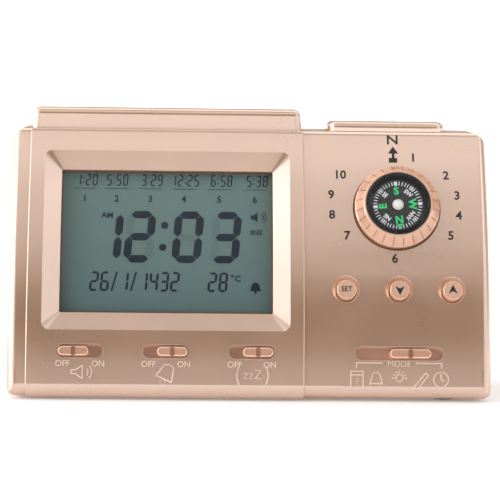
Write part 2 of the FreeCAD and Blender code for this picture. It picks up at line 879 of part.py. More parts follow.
def dial_parts():
    seat = -dial_seat_depth + clear_gap
    pocket = compass_radius + fit_gap
    rim = pocket + dial_rim_width
    pocket_floor = seat - dial_floor_drop
    hub_low = pocket_floor - dial_floor_thickness
    boss_low = hub_low - rotary_boss_length
    bevel_low = V(dial_radius - dial_edge, 0, dial_side_top_n)
    bevel_high = V(rim + dial_edge, 0, dial_rim_n - dial_edge)
    knob = revolved([
        (0, boss_low),
        (rotary_boss_radius, boss_low),
        (rotary_boss_radius, hub_low),
        (dial_journal_radius, hub_low),
        (dial_journal_radius, seat),
        (dial_radius, seat),
        (dial_radius, dial_side_top_n - dial_edge),
        (bevel_low.x, bevel_low.z),
        (bevel_high.x, bevel_high.z),
        (rim, dial_rim_n),
        (pocket, dial_rim_n),
        (pocket, pocket_floor),
        (0, pocket_floor),
    ], 0, 0)
    ribs = []
    bevel = bevel_low.sub(bevel_high)
    middle = (bevel_low + bevel_high) / 2
    slope = math.degrees(math.atan2(-bevel.z, bevel.x))
    half = bevel.Length / 2 + dial_edge
    for index in range(dial_rib_count):
        rib = box(-half, half, -dial_rib_width / 2, dial_rib_width / 2, -dial_rib_depth, spare_cut)
        rib.rotate(V(0, 0, 0), V(0, 1, 0), slope)
        rib.translate(middle)
        rib.rotate(V(0, 0, 0), V(0, 0, 1), 360.0 / dial_rib_count * (index + 0.5))
        ribs.append(rib)
    pointer = box(-dial_pointer_width / 2, dial_pointer_width / 2, dial_radius - dial_pointer_length,
                  dial_radius + spare_cut, dial_side_top_n - dial_pointer_rise, dial_rim_n)
    bore = d_shaft(rotary_shaft_radius + screw_hole_gap, rotary_shaft_flat + screw_hole_gap,
                   boss_low - spare_cut, pocket_floor - dial_shaft_floor)
    knob = knob.cut(ribs + [pointer, bore])
    shaft_top = pocket_floor - dial_shaft_floor - clear_gap
    body_top_n = board_front_n + rotary_height
    collar_top_n = body_top_n + rotary_collar_rise
    shaft = d_shaft(rotary_shaft_radius, rotary_shaft_flat, collar_top_n, shaft_top)
    shaft_low_n = board_front_n + rotary_floor + clear_gap
    shaft = shaft.fuse(cylinder(0, 0, shaft_low_n, collar_top_n, rotary_shaft_radius))
    half = rotary_size / 2
    body = rounded_block(-half, half, -half, half, board_front_n, body_top_n, rotary_corner_radius)
    body = body.cut(cylinder(0, 0, board_front_n + rotary_floor, 0, rotary_shaft_radius + running_gap))
    rim_n = dial_rim_n
    case_low = pocket_floor + compass_case_gap
    inner = compass_radius - compass_wall
    card_top = rim_n - card_below_rim
    case = revolved([
        (0, case_low),
        (compass_radius, case_low),
        (compass_radius, rim_n),
        (inner, rim_n),
        (inner, case_low + compass_floor),
        (0, case_low + compass_floor),
    ], 0, 0)
    lens_top = rim_n + compass_lens_thickness
    dome = lens_dome(rim_n, lens_top)
    hub_top = card_top + card_hub_rise
    card_low = card_top - card_thickness
    card = cylinder(0, 0, card_low, card_top, card_radius)
    hub = cylinder(0, 0, card_top, hub_top, card_hub_radius)
    cap_top = hub_top + card_cap_rise
    cap = cylinder(0, 0, hub_top - overlap, cap_top, card_cap_radius)
    cap = cap.makeFillet(card_cap_rise - overlap / 2, level_edges(cap, cap_top))
    magnet = box(-card_magnet_width / 2, card_magnet_width / 2, -card_magnet_length / 2,
                 card_magnet_length / 2, card_low - card_magnet_thickness, card_low)
    bore_top = card_top + card_bore_rise
    magnet_low = card_low - card_magnet_thickness
    pin_bore = cylinder(0, 0, magnet_low - spare_cut, bore_top, pivot_radius + running_gap)
    whole_card = card.fuse([hub, cap, magnet]).cut(pin_bore).removeSplitter()
    pin_low = case_low + compass_floor
    pivot = cylinder(0, 0, pin_low, bore_top - running_gap, pivot_radius)
    pivot = pivot.fuse(cylinder(0, 0, pin_low, pin_low + pivot_foot_height, pivot_foot_radius))
    for name, shape in (
        ("city_dial", knob),
        ("rotary_shaft", shaft.removeSplitter()),
        ("rotary_switch", body),
        ("compass_case", case),
        ("compass_lens", dome),
        ("compass_card", whole_card),
        ("compass_pivot", pivot.removeSplitter()),
    ):
        moved = shape.copy()
        moved.translate(V(dial_x, dial_u, 0))
        parts[name] = from_works(moved)


def d_shaft(radius, flat, z0, z1):
    return cylinder(0, 0, z0, z1, radius).common(box(-radius * 2, flat, -radius * 2, radius * 2, z0, z1))


def lens_dome(rim_n, edge_top):
    rise = compass_lens_dome
    radius = (compass_radius ** 2 + rise ** 2) / (2 * rise)
    ball = Part.makeSphere(radius, V(0, 0, edge_top + rise - radius))
    return cylinder(0, 0, rim_n, edge_top + rise + 1, compass_radius).common(ball)


def pressed_key(x0, x1, stand, draft, corner, edge, travel, legs, tact_top):
    # a hollow cap with a flange under the top wall and a leg over each switch
    y0 = bar_front_y
    y1 = bar_front_y + bar_depth
    top = body_top + stand
    flange_top = body_top - wall - flange_gap
    upper = rounded_block(x0, x1, y0, y1, flange_top, top, corner)
    if draft > 0:
        upper = drafted_block(x0, x1, y0, y1, flange_top, top, corner, draft)
    upper = upper.makeFillet(edge, level_edges(upper, top))
    low = flange_top - top_flange_thickness
    out = top_flange
    flange = rounded_block(x0 - out, x1 + out, y0 - out, y1 + out, low, flange_top, corner + out)
    hollow = rounded_block(x0 + bar_wall, x1 - bar_wall, y0 + bar_wall, y1 - bar_wall,
                           low - spare_cut, top - bar_wall, max(corner - bar_wall, tact_corner_radius))
    solid = upper.fuse(flange).cut(hollow)
    mid_y = (y0 + y1) / 2
    leg_low = tact_top + travel + pusher_gap
    pushers = [cylinder(x, mid_y, leg_low, top - bar_wall / 2, pusher_radius) for x in legs]
    return solid.fuse(pushers).removeSplitter()


def drafted_block(x0, x1, y0, y1, z0, z1, corner, draft):
    def outline(inset, z):
        block = rounded_block(x0 + inset, x1 - inset, y0 + inset / 2, y1 - inset / 2, z, z + 1, corner)
        face = [f for f in block.Faces if abs(f.CenterOfMass.z - z) < 1e-6][0]
        return face.OuterWire
    straight = rounded_block(x0, x1, y0, y1, z0, body_top, corner)
    return straight.fuse(Part.makeLoft([outline(0, body_top), outline(draft, z1)], True, True))


def top_parts():
    board_top = body_top - wall - flange_gap - top_flange_thickness
    tact_top = board_top - bar_travel - pusher_gap - top_board_spare
    board_face = tact_top - tact_height - tact_plunger_rise
    legs = [bar_left + bar_switch_inset, bar_right - bar_switch_inset]
    key_leg = (top_key_left + top_key_right) / 2
    parts["snooze_bar"] = pressed_key(bar_left, bar_right, bar_stand, bar_draft, bar_corner_radius,
                                      bar_edge_radius, bar_travel, legs, tact_top)
    parts["light_key"] = pressed_key(top_key_left, top_key_right, top_key_stand, 0,
                                     top_key_corner_radius, top_key_edge_radius,
                                     top_key_travel, [key_leg], tact_top)
    board = box(-top_board_half_width, top_board_half_width, top_board_front_y,
                top_board_front_y + top_board_depth, board_face - top_board_thickness, board_face)
    parts["top_board"] = board
    mid_y = bar_front_y + bar_depth / 2
    names = ["snooze_switch_left", "snooze_switch_right", "light_switch"]
    for name, x in zip(names, legs + [key_leg]):
        switch = tact(tact_size, tact_height, tact_plunger_rise)
        switch.translate(V(x, mid_y, board_face))
        parts[name] = switch
    return board_face - top_board_thickness


bay_x0 = bay_centre_x - bay_length / 2
bay_x1 = bay_centre_x + bay_length / 2
bay_z0 = cell_low_z - cell_radius - bay_side_gap
bay_z1 = cell_low_z + (cell_count - 1) * cell_pitch + cell_radius + bay_side_gap
door_x0 = bay_x0 - door_ledge + door_gap
door_x1 = bay_x1 + door_ledge - door_gap
door_z0 = bay_z0 - door_ledge + door_gap
door_z1 = bay_z1 + door_ledge - door_gap
door_inner_y = half_depth - door_thickness
door_axis_y = half_depth - door_thickness / 2
door_axis_z = door_z0 + door_thickness / 2
cell_y = door_inner_y - fit_gap - cell_radius
bay_floor_y = cell_y - cell_radius - fit_gap


def front_outline(inset, y0, y1):
    x = half_width - inset
    block = box(-x, x, y0, y1, foot_stand + inset, body_top - inset)
    upper = max(top_corner_radius - inset, fit_gap)
    lower = max(bottom_corner_radius - inset, fit_gap)
    block = rounded_prism(block, V(0, 1, 0), upper, lambda c: c.z > body_top / 2)
    return rounded_prism(block, V(0, 1, 0), lower, lambda c: c.z < body_top / 2)


def front_frame(outer_inset, inner_inset, y0, y1):
    return front_outline(outer_inset, y0, y1).cut(front_outline(inner_inset, y0, y1))


def rear_cover(rib_top):
    shell = case_solid(0).common(box(-reach, reach, split_y, reach, -reach, reach))
    shell = shell.cut(case_solid(wall))
    inner_y = half_depth - wall
    tongue_in = wall + fit_gap + tongue_thickness
    ring = front_frame(wall + fit_gap, tongue_in, split_y - tongue_length, split_y)
    land = front_frame(wall / 2, tongue_in, split_y, split_y + tongue_thickness)
    ring = ring.fuse(land).common(box(-reach, reach, -reach, reach, -reach, body_top - tongue_top))
    ring = ring.cut([cylinder_y(x, z, 0, split_y, case_post_radius + fit_gap) for x, z in case_posts()])
    added = [ring]
    bay = box(bay_x0 - bay_wall, bay_x1 + bay_wall, bay_floor_y - bay_wall, door_inner_y - door_seat_gap,
              bay_z0 - bay_wall, bay_z1 + bay_wall)
    added.append(bay)
    seat_y = half_depth - screw_well_depth
    for x, z in case_posts():
        well_radius = case_screw_head / 2 + fit_gap + screw_well_wall
        well = cylinder_y(x, z, split_y, inner_y + wall / 2, well_radius)
        added.append(well.common(case_solid(wall / 2)))
    for x in rib_x:
        foot = rib_top - rib_drop
        rib = box(x - rib_thickness / 2, x + rib_thickness / 2, inner_y - rib_reach, inner_y + wall / 2,
                  foot, rib_top)
        added.append(rib)
    collar = cylinder_y(speaker_x, speaker_z, inner_y - speaker_rib_height, inner_y + wall / 2,
                        speaker_radius + fit_gap + speaker_rib_thickness)
    collar = collar.cut(cylinder_y(speaker_x, speaker_z, -reach, reach, speaker_radius + fit_gap))
    added.append(collar)
    cover = shell.fuse(added)
    cuts = [box(bay_x0, bay_x1, bay_floor_y, reach, bay_z0, bay_z1)]
    cuts.append(box(door_x0 - door_gap, door_x1 + door_gap, door_inner_y - door_seat_gap, reach,
                    door_z0 - door_gap, door_z1 + door_gap))
    cuts.append(cylinder_x(door_axis_y, door_axis_z, door_x0 - door_trunnion_length - door_gap,
                           door_x1 + door_trunnion_length + door_gap,
                           door_trunnion_radius + door_running_gap))
    scoop = Part.makeSphere(scoop_radius, V(bay_centre_x, half_depth + scoop_radius - scoop_depth,
                                            door_z1 + door_gap))
    cuts.append(scoop.common(box(-reach, reach, -reach, reach, door_z1, reach)))
    for x, z in case_posts():
        cuts.append(cylinder_y(x, z, seat_y, reach, case_screw_head / 2 + fit_gap))
        cuts.append(cylinder_y(x, z, -reach, reach, case_screw_shank / 2 + clear_gap))
    rows = int(grille_radius / grille_pitch)
    for row in range(-rows, rows + 1):
        offset = row * grille_pitch
        half = math.sqrt(grille_radius ** 2 - offset ** 2)
        slot = stadium(0, 0, 2 * half, grille_slot, -grille_reach, grille_reach)
        slot.rotate(V(0, 0, 0), V(1, 0, 0), 90)
        slot.translate(V(speaker_x, half_depth, speaker_z + offset))
        cuts.append(slot)
    return cover.cut(cuts).removeSplitter()


def battery_door():
    radius = door_thickness / 2
    plate = box(door_x0, door_x1, door_inner_y, half_depth, door_axis_z, door_z1)
    edge = cylinder_x(door_axis_y, door_axis_z, door_x0, door_x1, radius)
    pin_x0 = door_x0 - door_trunnion_length
    pin_x1 = door_x1 + door_trunnion_length
    pins = cylinder_x(door_axis_y, door_axis_z, pin_x0, pin_x1, door_trunnion_radius)
    slits = []
    for side in (-1, 1):
        x = bay_centre_x + side * door_tongue_width / 2
        slits.append(box(x - door_slit / 2, x + door_slit / 2, -reach, reach,
                         door_z1 - door_tongue_length, door_z1 + spare_cut))
    grooves = []
    groove_half = door_tongue_width / 2 - door_groove_end_gap
    for row in range(door_groove_count):
        z = door_z1 - door_groove_from_top - row * door_groove_pitch
        grooves.append(box(bay_centre_x - groove_half, bay_centre_x + groove_half,
                           half_depth - door_groove_depth, reach,
                           z - door_groove_width / 2, z + door_groove_width / 2))
    return plate.fuse([edge, pins]).cut(slits + grooves).removeSplitter()


def battery_parts():
    springs = []
    plates = []
    plate_half = contact_plate_size / 2
    for index in range(cell_count):
        z = cell_low_z + index * cell_pitch
        sign = 1 if index % 2 == 0 else -1
        wall_x = bay_centre_x + sign * bay_length / 2
        plate_in = wall_x - sign * contact_plate_thickness
        tip = plate_in - sign * cell_contact_gap
        shoulder = tip - sign * cell_nub_length
        base = tip - sign * cell_length
        body = cylinder_x(cell_y, z, min(shoulder, base), max(shoulder, base), cell_radius)
        body = body.makeFillet(cell_edge_radius, [e for e in body.Edges if len(e.Vertexes) == 1])
        nub_root = shoulder - sign * overlap
        nub = cylinder_x(cell_y, z, min(tip, nub_root), max(tip, nub_root), cell_nub_radius)
        parts["battery_%d" % (index + 1)] = body.fuse(nub).removeSplitter()
        far_x = bay_centre_x - sign * bay_length / 2
        far_in = far_x + sign * contact_plate_thickness
        for a, b in ((wall_x, plate_in), (far_x, far_in)):
            plates.append(box(min(a, b), max(a, b), cell_y - plate_half, cell_y + plate_half,
                              z - plate_half, z + plate_half))
        springs.append(coil_spring(far_in + sign * spring_gap, base - sign * spring_gap, z))
    parts["battery_plates"] = Part.Compound(plates)
    parts["battery_springs"] = Part.Compound(springs)


def coil_spring(x0, x1, z):
    sign = 1 if x1 > x0 else -1
    height = abs(x1 - x0) - 2 * spring_wire_radius
    helix = Part.makeHelix(height / spring_turns, height, spring_radius)
    turns = [2 * math.pi * side / spring_wire_sides for side in range(spring_wire_sides)]
    outline = [
        V(spring_radius + spring_wire_radius * math.cos(t), 0, spring_wire_radius * math.sin(t))
        for t in turns
    ]
    section = Part.Wire(Part.makePolygon(outline + [outline[0]]))
    coil = Part.Wire(helix.Edges).makePipeShell([section], True, True)
    coil.rotate(V(0, 0, 0), V(0, 1, 0), 90 * sign)
    coil.translate(V(x0 + sign * spring_wire_radius, cell_y, z))
    return coil


def speaker_parts():
    y = half_depth - wall - speaker_seat_gap
    rim = speaker_radius
    basket_low = y - speaker_rim
    cone_low = y - speaker_cone_depth
    seat_radius = rim - speaker_basket_lip
    seat_y = y - speaker_rim + speaker_cone_thickness
    magnet_top = y - speaker_depth + speaker_magnet_height
    parts["speaker"] = speaker_turning([
        (0, y - speaker_depth),
        (speaker_magnet_radius, y - speaker_depth),
        (speaker_magnet_radius, magnet_top),
        (speaker_magnet_radius + speaker_basket_lip, magnet_top),
        (rim, basket_low - speaker_rim / 2),
        (rim, y),
        (seat_radius + speaker_cone_thickness, y),
        (seat_radius, seat_y),
        (speaker_cap_radius, cone_low),
        (0, cone_low),
    ])
    gap = speaker_cone_thickness / 2
    parts["speaker_cone"] = speaker_turning([
        (0, cone_low + gap + speaker_cap_rise),
        (speaker_cap_radius, cone_low + gap),
        (seat_radius, seat_y),
        (seat_radius, seat_y + speaker_cone_thickness),
        (speaker_cap_radius, cone_low + gap + speaker_cone_thickness),
        (0, cone_low + gap + speaker_cap_rise + speaker_cone_thickness),
    ])


def speaker_turning(points):
    outline = [V(radius, depth, 0) for radius, depth in points]
    turned = Part.Face(Part.makePolygon(outline + [outline[0]]))
    turned = turned.revolve(V(0, 0, 0), V(0, 1, 0), 360)
    turned.translate(V(speaker_x, 0, speaker_z))
    return turned


def fastener_parts():
    screws = []
    seat_y = half_depth - screw_well_depth
    for x, z in case_posts():
        shank = cylinder_y(x, z, seat_y - case_screw_length, seat_y, case_screw_shank / 2)
        head = cylinder_y(x, z, seat_y, seat_y + case_screw_head_height, case_screw_head / 2)
        arm = case_screw_head * screw_cross_share / 2
        half = screw_cross_width / 2
        top = seat_y + case_screw_head_height
        recess = [box(x - arm, x + arm, top - screw_cross_depth, top + spare_cut, z - half, z + half),
                  box(x - half, x + half, top - screw_cross_depth, top + spare_cut, z - arm, z + arm)]
        screws.append(shank.fuse(head).cut(recess).removeSplitter())
    parts["case_screws"] = Part.Compound(screws)
    feet = []
    for x, y in foot_places():
        foot = cylinder(x, y, 0, foot_stand + foot_sunk, foot_radius)
        feet.append(foot.makeFillet(foot_edge, level_edges(foot, 0)))
    parts["rubber_feet"] = Part.Compound(feet)


parts["front_housing"] = front_housing()
lcd_parts()
board_parts()
key_parts()
slide_parts()
dial_parts()
top_board_low = top_parts()
parts["rear_cover"] = rear_cover(top_board_low)
parts["battery_door"] = battery_door()
battery_parts()
speaker_parts()
fastener_parts()

os.makedirs("parts", exist_ok=True)
for name, shape in parts.items():
    shape.exportStep("parts/%s.step" % name)
    print("%-20s solids %d valid %s volume %.1f" % (name, len(shape.Solids), shape.isValid(), shape.Volume))
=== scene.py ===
# %% [markdown]
# # A table clock with a leaning, curved face
# The CAD model gives every rigid piece its shape. This lesson dresses it: painted
# plastic, a grey display with its lit segments, a small liquid compass, printing,
# raised signs, then light and a camera. All lengths are in metres, in the CAD frame:
# X to the viewer's right, Y to the back, Z up, the table at Z = 0.

# %% Load the CAD frame
import math

import bmesh
import bpy
from mathutils import Matrix, Vector


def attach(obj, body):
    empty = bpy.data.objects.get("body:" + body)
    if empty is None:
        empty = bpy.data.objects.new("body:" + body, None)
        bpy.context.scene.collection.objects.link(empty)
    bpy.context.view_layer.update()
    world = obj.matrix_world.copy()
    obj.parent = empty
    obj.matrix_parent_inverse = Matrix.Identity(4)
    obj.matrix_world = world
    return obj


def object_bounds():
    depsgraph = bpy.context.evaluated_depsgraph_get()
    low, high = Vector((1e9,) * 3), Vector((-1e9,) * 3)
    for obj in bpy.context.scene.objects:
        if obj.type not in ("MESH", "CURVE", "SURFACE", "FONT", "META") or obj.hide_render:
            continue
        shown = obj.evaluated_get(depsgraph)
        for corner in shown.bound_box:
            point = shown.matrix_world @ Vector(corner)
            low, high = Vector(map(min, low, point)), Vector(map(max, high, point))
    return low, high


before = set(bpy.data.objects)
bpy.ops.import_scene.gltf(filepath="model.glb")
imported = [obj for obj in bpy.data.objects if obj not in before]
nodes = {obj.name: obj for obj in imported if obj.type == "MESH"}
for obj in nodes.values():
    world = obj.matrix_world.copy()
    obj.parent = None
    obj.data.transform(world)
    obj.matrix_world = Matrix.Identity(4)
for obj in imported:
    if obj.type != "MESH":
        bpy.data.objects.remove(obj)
cad_low, cad_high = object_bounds()
print("CAD nodes:", len(nodes), "size in mm:", [round(c * 1000, 1) for c in cad_high - cad_low])

# %% [markdown]
# ## Two rulers for the face
# The face is one big arc that leans back more towards its top, so a point on it is
# easiest to name by x, by the distance s up the arc, and by its height n over the
# surface. The display, the dial and the keys were moulded square to one direction,
# so they get a second, flat ruler: x, u up the face, and n out of it.

# %% Rulers: from face measures to the frame
MM = 0.001
face_radius = 203.0 * MM
low_lean = math.radians(8.5)
draw_lean = math.radians(22.0)
lip_radius = 3.7 * MM
panel_raise = 0.7 * MM
foot_stand = 0.8 * MM
lip_y = cad_low.y + panel_raise + lip_radius
lip_z = foot_stand + lip_radius
arc_y = lip_y + (face_radius - lip_radius) * math.cos(low_lean)
arc_z = lip_z - (face_radius - lip_radius) * math.sin(low_lean)
panel_left = -69.25 * MM
panel_right = 16.9 * MM


def face_point(x, s, n):
    lean = low_lean + s / face_radius
    rise = n + (panel_raise if panel_left < x < panel_right else 0.0)
    reach = face_radius + rise
    return Vector((x, arc_y - reach * math.cos(lean), arc_z + reach * math.sin(lean)))


works_x = Vector((1, 0, 0))
works_u = Vector((0, math.sin(draw_lean), math.cos(draw_lean)))
works_n = Vector((0, -math.cos(draw_lean), math.sin(draw_lean)))
works_origin = Vector((0, arc_y, arc_z)) + face_radius * works_n


def works_point(x, u, n):
    return works_origin + x * works_x + u * works_u + n * works_n


arc_top = 82.9 * MM
print("face point at the top of the arc:", [round(c * 1000, 1) for c in face_point(0, arc_top, 0)])

# %% [markdown]
# ## Flat drawings become thin solids
# Signs, digits and ticks are drawn as flat outlines, in millimetres, and then given a
# little thickness on whichever ruler they belong to. One small helper does both steps,
# so the printing follows the curve of the face by itself. Letters come from Blender's
# own font, are turned into a mesh first, and go through the same ruler.


# %% Helpers for flat outlines
def rectangle(x0, y0, x1, y1):
    return [(x0, y0), (x1, y0), (x1, y1), (x0, y1)]


def disc(x, y, radius, sides=24):
    turns = [2 * math.pi * i / sides for i in range(sides)]
    return [(x + radius * math.cos(t), y + radius * math.sin(t)) for t in turns]


def arc_points(x, y, radius, start, end, steps=12):
    turns = [math.radians(start + (end - start) * i / steps) for i in range(steps + 1)]
    return [(x + radius * math.cos(t), y + radius * math.sin(t)) for t in turns]


def ribbon(points, width, closed=False):
    # short overlapping strips along a line, one for each of its runs
    strips = []
    ends = points + [points[0]] if closed else points
    for (ax, ay), (bx, by) in zip(ends, ends[1:]):
        along = Vector((bx - ax, by - ay))
        if along.length < 1e-6:
            continue
        along.normalize()
        half = width / 2
        side = Vector((-along.y, along.x)) * half
        tip = along * half * 0.4
        strips.append([
            (ax - tip.x - side.x, ay - tip.y - side.y),
            (bx + tip.x - side.x, by + tip.y - side.y),
            (bx + tip.x + side.x, by + tip.y + side.y),
            (ax - tip.x + side.x, ay - tip.y + side.y),
        ])
    return strips


def ring(x, y, radius, width, sides=28):
    return ribbon(disc(x, y, radius, sides), width, closed=True)


def area_of(outline):
    pairs = zip(outline, outline[1:] + outline[:1])
    return sum(ax * by - bx * ay for (ax, ay), (bx, by) in pairs) / 2


print("outlines: rectangle, disc, arc, ribbon and ring")


# %% From outlines and letters to a named piece
def thin_solids(outlines, low, high, place):
    # each outline gets a bottom, a top and walls; place turns (x, y, n) into the frame
    verts, faces = [], []
    for outline in outlines:
        loop = outline if area_of(outline) > 0 else outline[::-1]
        start, count = len(verts), len(loop)
        for n in (low, high):
            verts += [place(x * MM, y * MM, n * MM) for x, y in loop]
        faces.append([start + i for i in range(count)][::-1])
        faces.append([start + count + i for i in range(count)])
        for i in range(count):
            j = (i + 1) % count
            faces.append([start + i, start + j, start + count + j, start + count + i])
    return verts, faces


def letters(text, size, x, y, low, high, place, align="CENTER", bold=0.0, slant=0.0, squeeze=1.0):
    curve = bpy.data.curves.new("letters", "FONT")
    curve.body = text
    curve.size = size
    curve.align_x = align
    curve.align_y = "CENTER"
    curve.offset = bold
    curve.shear = slant
    curve.resolution_u = 3
    curve.extrude = (high - low) / 2
    holder = bpy.data.objects.new("letters", curve)
    bpy.context.collection.objects.link(holder)
    ready = bpy.context.evaluated_depsgraph_get()
    shape = bpy.data.meshes.new_from_object(holder.evaluated_get(ready))
    middle = (low + high) / 2
    verts = [
        place((x + v.co.x * squeeze) * MM, (y + v.co.y) * MM, (v.co.z + middle) * MM)
        for v in shape.vertices
    ]
    faces = [list(p.vertices) for p in shape.polygons]
    bpy.data.objects.remove(holder)
    bpy.data.curves.remove(curve)
    bpy.data.meshes.remove(shape)
    return verts, faces


def piece(name, solids, material, body, smooth=False):
    verts, faces = [], []
    for part_verts, part_faces in solids:
        shift = len(verts)
        verts += part_verts
        faces += [[i + shift for i in face] for face in part_faces]
    mesh = bpy.data.meshes.new(name)
    mesh.from_pydata([tuple(v) for v in verts], [], faces)
    shell = bmesh.new()
    shell.from_mesh(mesh)
    bmesh.ops.remove_doubles(shell, verts=shell.verts, dist=1e-7)
    bmesh.ops.recalc_face_normals(shell, faces=shell.faces)
    for face in shell.faces:
        face.smooth = smooth
    shell.to_mesh(mesh)
    shell.free()
    mesh.materials.append(material)
    made = bpy.data.objects.new(name, mesh)
    bpy.context.collection.objects.link(made)
    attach(made, body)
    print(name, "faces", len(mesh.polygons))
    return made


print("rulers and helpers are ready")

# %% [markdown]
# ## Paint, plastic and metal
# The housing is plastic under a champagne pearl paint. Pearl flakes lie in a coloured
# base: the base scatters a warm colour that hardly changes with the view, and the
# flakes lay a soft, nearly white reflection of the room over it. So the shader is only
# a third metal. It has a warm base colour and a high index of refraction, which gives
# a strong uncoloured reflection, made broad by its roughness. Patterns read Object
# coordinates, here the frame's own metres, so flakes have one size on every piece.


# %% Material helpers
def new_material(name):
    material = bpy.data.materials.new(name)
    material.use_nodes = True
    shader = material.node_tree.nodes["Principled BSDF"]
    return material, shader, material.node_tree.nodes, material.node_tree.links


def object_noise(nodes_, links, scale, detail=2.0, rough=0.5):
    spot = nodes_.new("ShaderNodeTexCoord")
    noise = nodes_.new("ShaderNodeTexNoise")
    noise.inputs["Scale"].default_value = scale
    noise.inputs["Detail"].default_value = detail
    noise.inputs["Roughness"].default_value = rough
    links.new(spot.outputs["Object"], noise.inputs["Vector"])
    return noise


def two_tones(nodes_, links, factor, dark, light, low=0.3, high=0.7):
    ramp = nodes_.new("ShaderNodeValToRGB")
    ramp.color_ramp.elements[0].position = low
    ramp.color_ramp.elements[0].color = (*dark, 1)
    ramp.color_ramp.elements[1].position = high
    ramp.color_ramp.elements[1].color = (*light, 1)
    links.new(factor, ramp.inputs["Fac"])
    return ramp.outputs["Color"]


def add_bump(nodes_, links, shader, height, strength, distance):
    bump = nodes_.new("ShaderNodeBump")
    bump.inputs["Strength"].default_value = strength
    bump.inputs["Distance"].default_value = distance
    links.new(height, bump.inputs["Height"])
    links.new(bump.outputs["Normal"], shader.inputs["Normal"])


flake_share = 0.12


def pearl_paint(name, dark, light, metal, index, rough):
    material, shader, nodes_, links = new_material(name)
    flakes = object_noise(nodes_, links, 1200.0, 1.0)
    cloud = object_noise(nodes_, links, 55.0, 3.0)
    mix = nodes_.new("ShaderNodeMath")
    mix.operation = "MULTIPLY_ADD"
    mix.inputs[1].default_value = flake_share
    links.new(flakes.outputs["Fac"], mix.inputs[0])
    part = nodes_.new("ShaderNodeMath")
    part.operation = "MULTIPLY"
    part.inputs[1].default_value = 1 - flake_share
    links.new(cloud.outputs["Fac"], part.inputs[0])
    links.new(part.outputs[0], mix.inputs[2])
    links.new(two_tones(nodes_, links, mix.outputs[0], dark, light), shader.inputs["Base Color"])
    spread = nodes_.new("ShaderNodeMapRange")
    spread.inputs["To Min"].default_value = rough - 0.03
    spread.inputs["To Max"].default_value = rough + 0.03
    links.new(cloud.outputs["Fac"], spread.inputs["Value"])
    links.new(spread.outputs["Result"], shader.inputs["Roughness"])
    shader.inputs["Metallic"].default_value = metal
    shader.inputs["IOR"].default_value = index
    shader.inputs["Specular IOR Level"].default_value = 1.0
    return material


def moulded(name, dark, light, rough, grain_scale=2500.0, grain=0.2, metal=0.0, gloss=0.5):
    material, shader, nodes_, links = new_material(name)
    grain_noise = object_noise(nodes_, links, grain_scale, 3.0)
    cloud = object_noise(nodes_, links, 90.0, 2.0)
    links.new(two_tones(nodes_, links, cloud.outputs["Fac"], dark, light), shader.inputs["Base Color"])
    spread = nodes_.new("ShaderNodeMapRange")
    spread.inputs["To Min"].default_value = rough - 0.05
    spread.inputs["To Max"].default_value = rough + 0.05
    links.new(grain_noise.outputs["Fac"], spread.inputs["Value"])
    links.new(spread.outputs["Result"], shader.inputs["Roughness"])
    add_bump(nodes_, links, shader, grain_noise.outputs["Fac"], grain, 0.00003)
    shader.inputs["Metallic"].default_value = metal
    shader.inputs["Specular IOR Level"].default_value = gloss
    return material


print("two kinds of finish: pearl_paint and moulded")

# %% [markdown]
# ## The finishes of this clock
# Each finish is one call: a name, a darker and a lighter tone of the same colour, and
# a few numbers. The noise moves between the two tones, so no surface is one flat
# colour. The copper tones are deeper than the champagne ones and less mirror-like.

# %% The finishes of this clock
champagne = pearl_paint("champagne_paint", (0.553, 0.299, 0.163), (0.60, 0.326, 0.179), 0.3, 2.75, 0.23)
# a paler paint laid on the slot lips as a painted highlight
champagne_highlight = pearl_paint("champagne_highlight", (0.80, 0.50, 0.32), (0.88, 0.56, 0.37), 0.3, 2.75, 0.2)
champagne_sign = pearl_paint("champagne_sign", (0.86, 0.61, 0.44), (0.92, 0.66, 0.49), 0.1, 2.2, 0.3)
copper_shade = moulded("copper_shade", (0.10, 0.045, 0.025), (0.15, 0.07, 0.04), 0.5)
# a dark copper laid over the slides' grooves as painted shade
groove_shade_paint = moulded("groove_shade_paint", (0.22, 0.095, 0.055), (0.28, 0.125, 0.075), 0.4)
copper = pearl_paint("copper_paint", (0.63, 0.33, 0.195), (0.71, 0.38, 0.23), 0.4, 2.2, 0.22)
slide_paint = pearl_paint("slide_paint", (0.82, 0.41, 0.235), (0.90, 0.46, 0.275), 0.35, 2.4, 0.2)
black_gloss = moulded("black_gloss", (0.006, 0.006, 0.007), (0.012, 0.012, 0.013), 0.12, grain=0.03)
black_matte = moulded("black_moulded", (0.02, 0.02, 0.022), (0.03, 0.03, 0.033), 0.55)
white_plastic = moulded("white_moulded", (0.68, 0.67, 0.63), (0.76, 0.75, 0.71), 0.45)
green_board = moulded("green_board", (0.015, 0.08, 0.035), (0.025, 0.12, 0.05), 0.35, grain_scale=900.0)
nickel = moulded("nickel_plate", (0.52, 0.51, 0.49), (0.66, 0.65, 0.62), 0.28, grain=0.1, metal=1.0)
silicone = moulded("silicone_strip", (0.26, 0.17, 0.13), (0.34, 0.22, 0.17), 0.6, grain_scale=1800.0)
pressed_paper = moulded("pressed_paper", (0.015, 0.014, 0.013), (0.035, 0.033, 0.03), 0.85, 1400.0, 0.6)
sleeve = moulded("cell_sleeve", (0.02, 0.035, 0.08), (0.035, 0.055, 0.12), 0.3, grain=0.05, metal=0.4)
foot_rubber = moulded("foot_rubber", (0.015, 0.015, 0.015), (0.03, 0.03, 0.03), 0.8, 1600.0, 0.5)
ink_black = moulded("ink_black", (0.008, 0.007, 0.006), (0.014, 0.012, 0.011), 0.45, grain=0.08)
ink_white = moulded("ink_white", (0.72, 0.74, 0.74), (0.82, 0.84, 0.84), 0.5, grain=0.08)
ink_green = moulded("ink_green", (0.01, 0.52, 0.14), (0.02, 0.62, 0.18), 0.5, grain=0.08)
segment_dark = moulded("segment_dark", (0.010, 0.016, 0.026), (0.015, 0.022, 0.033), 0.5, grain=0.02,
                       gloss=0.1)
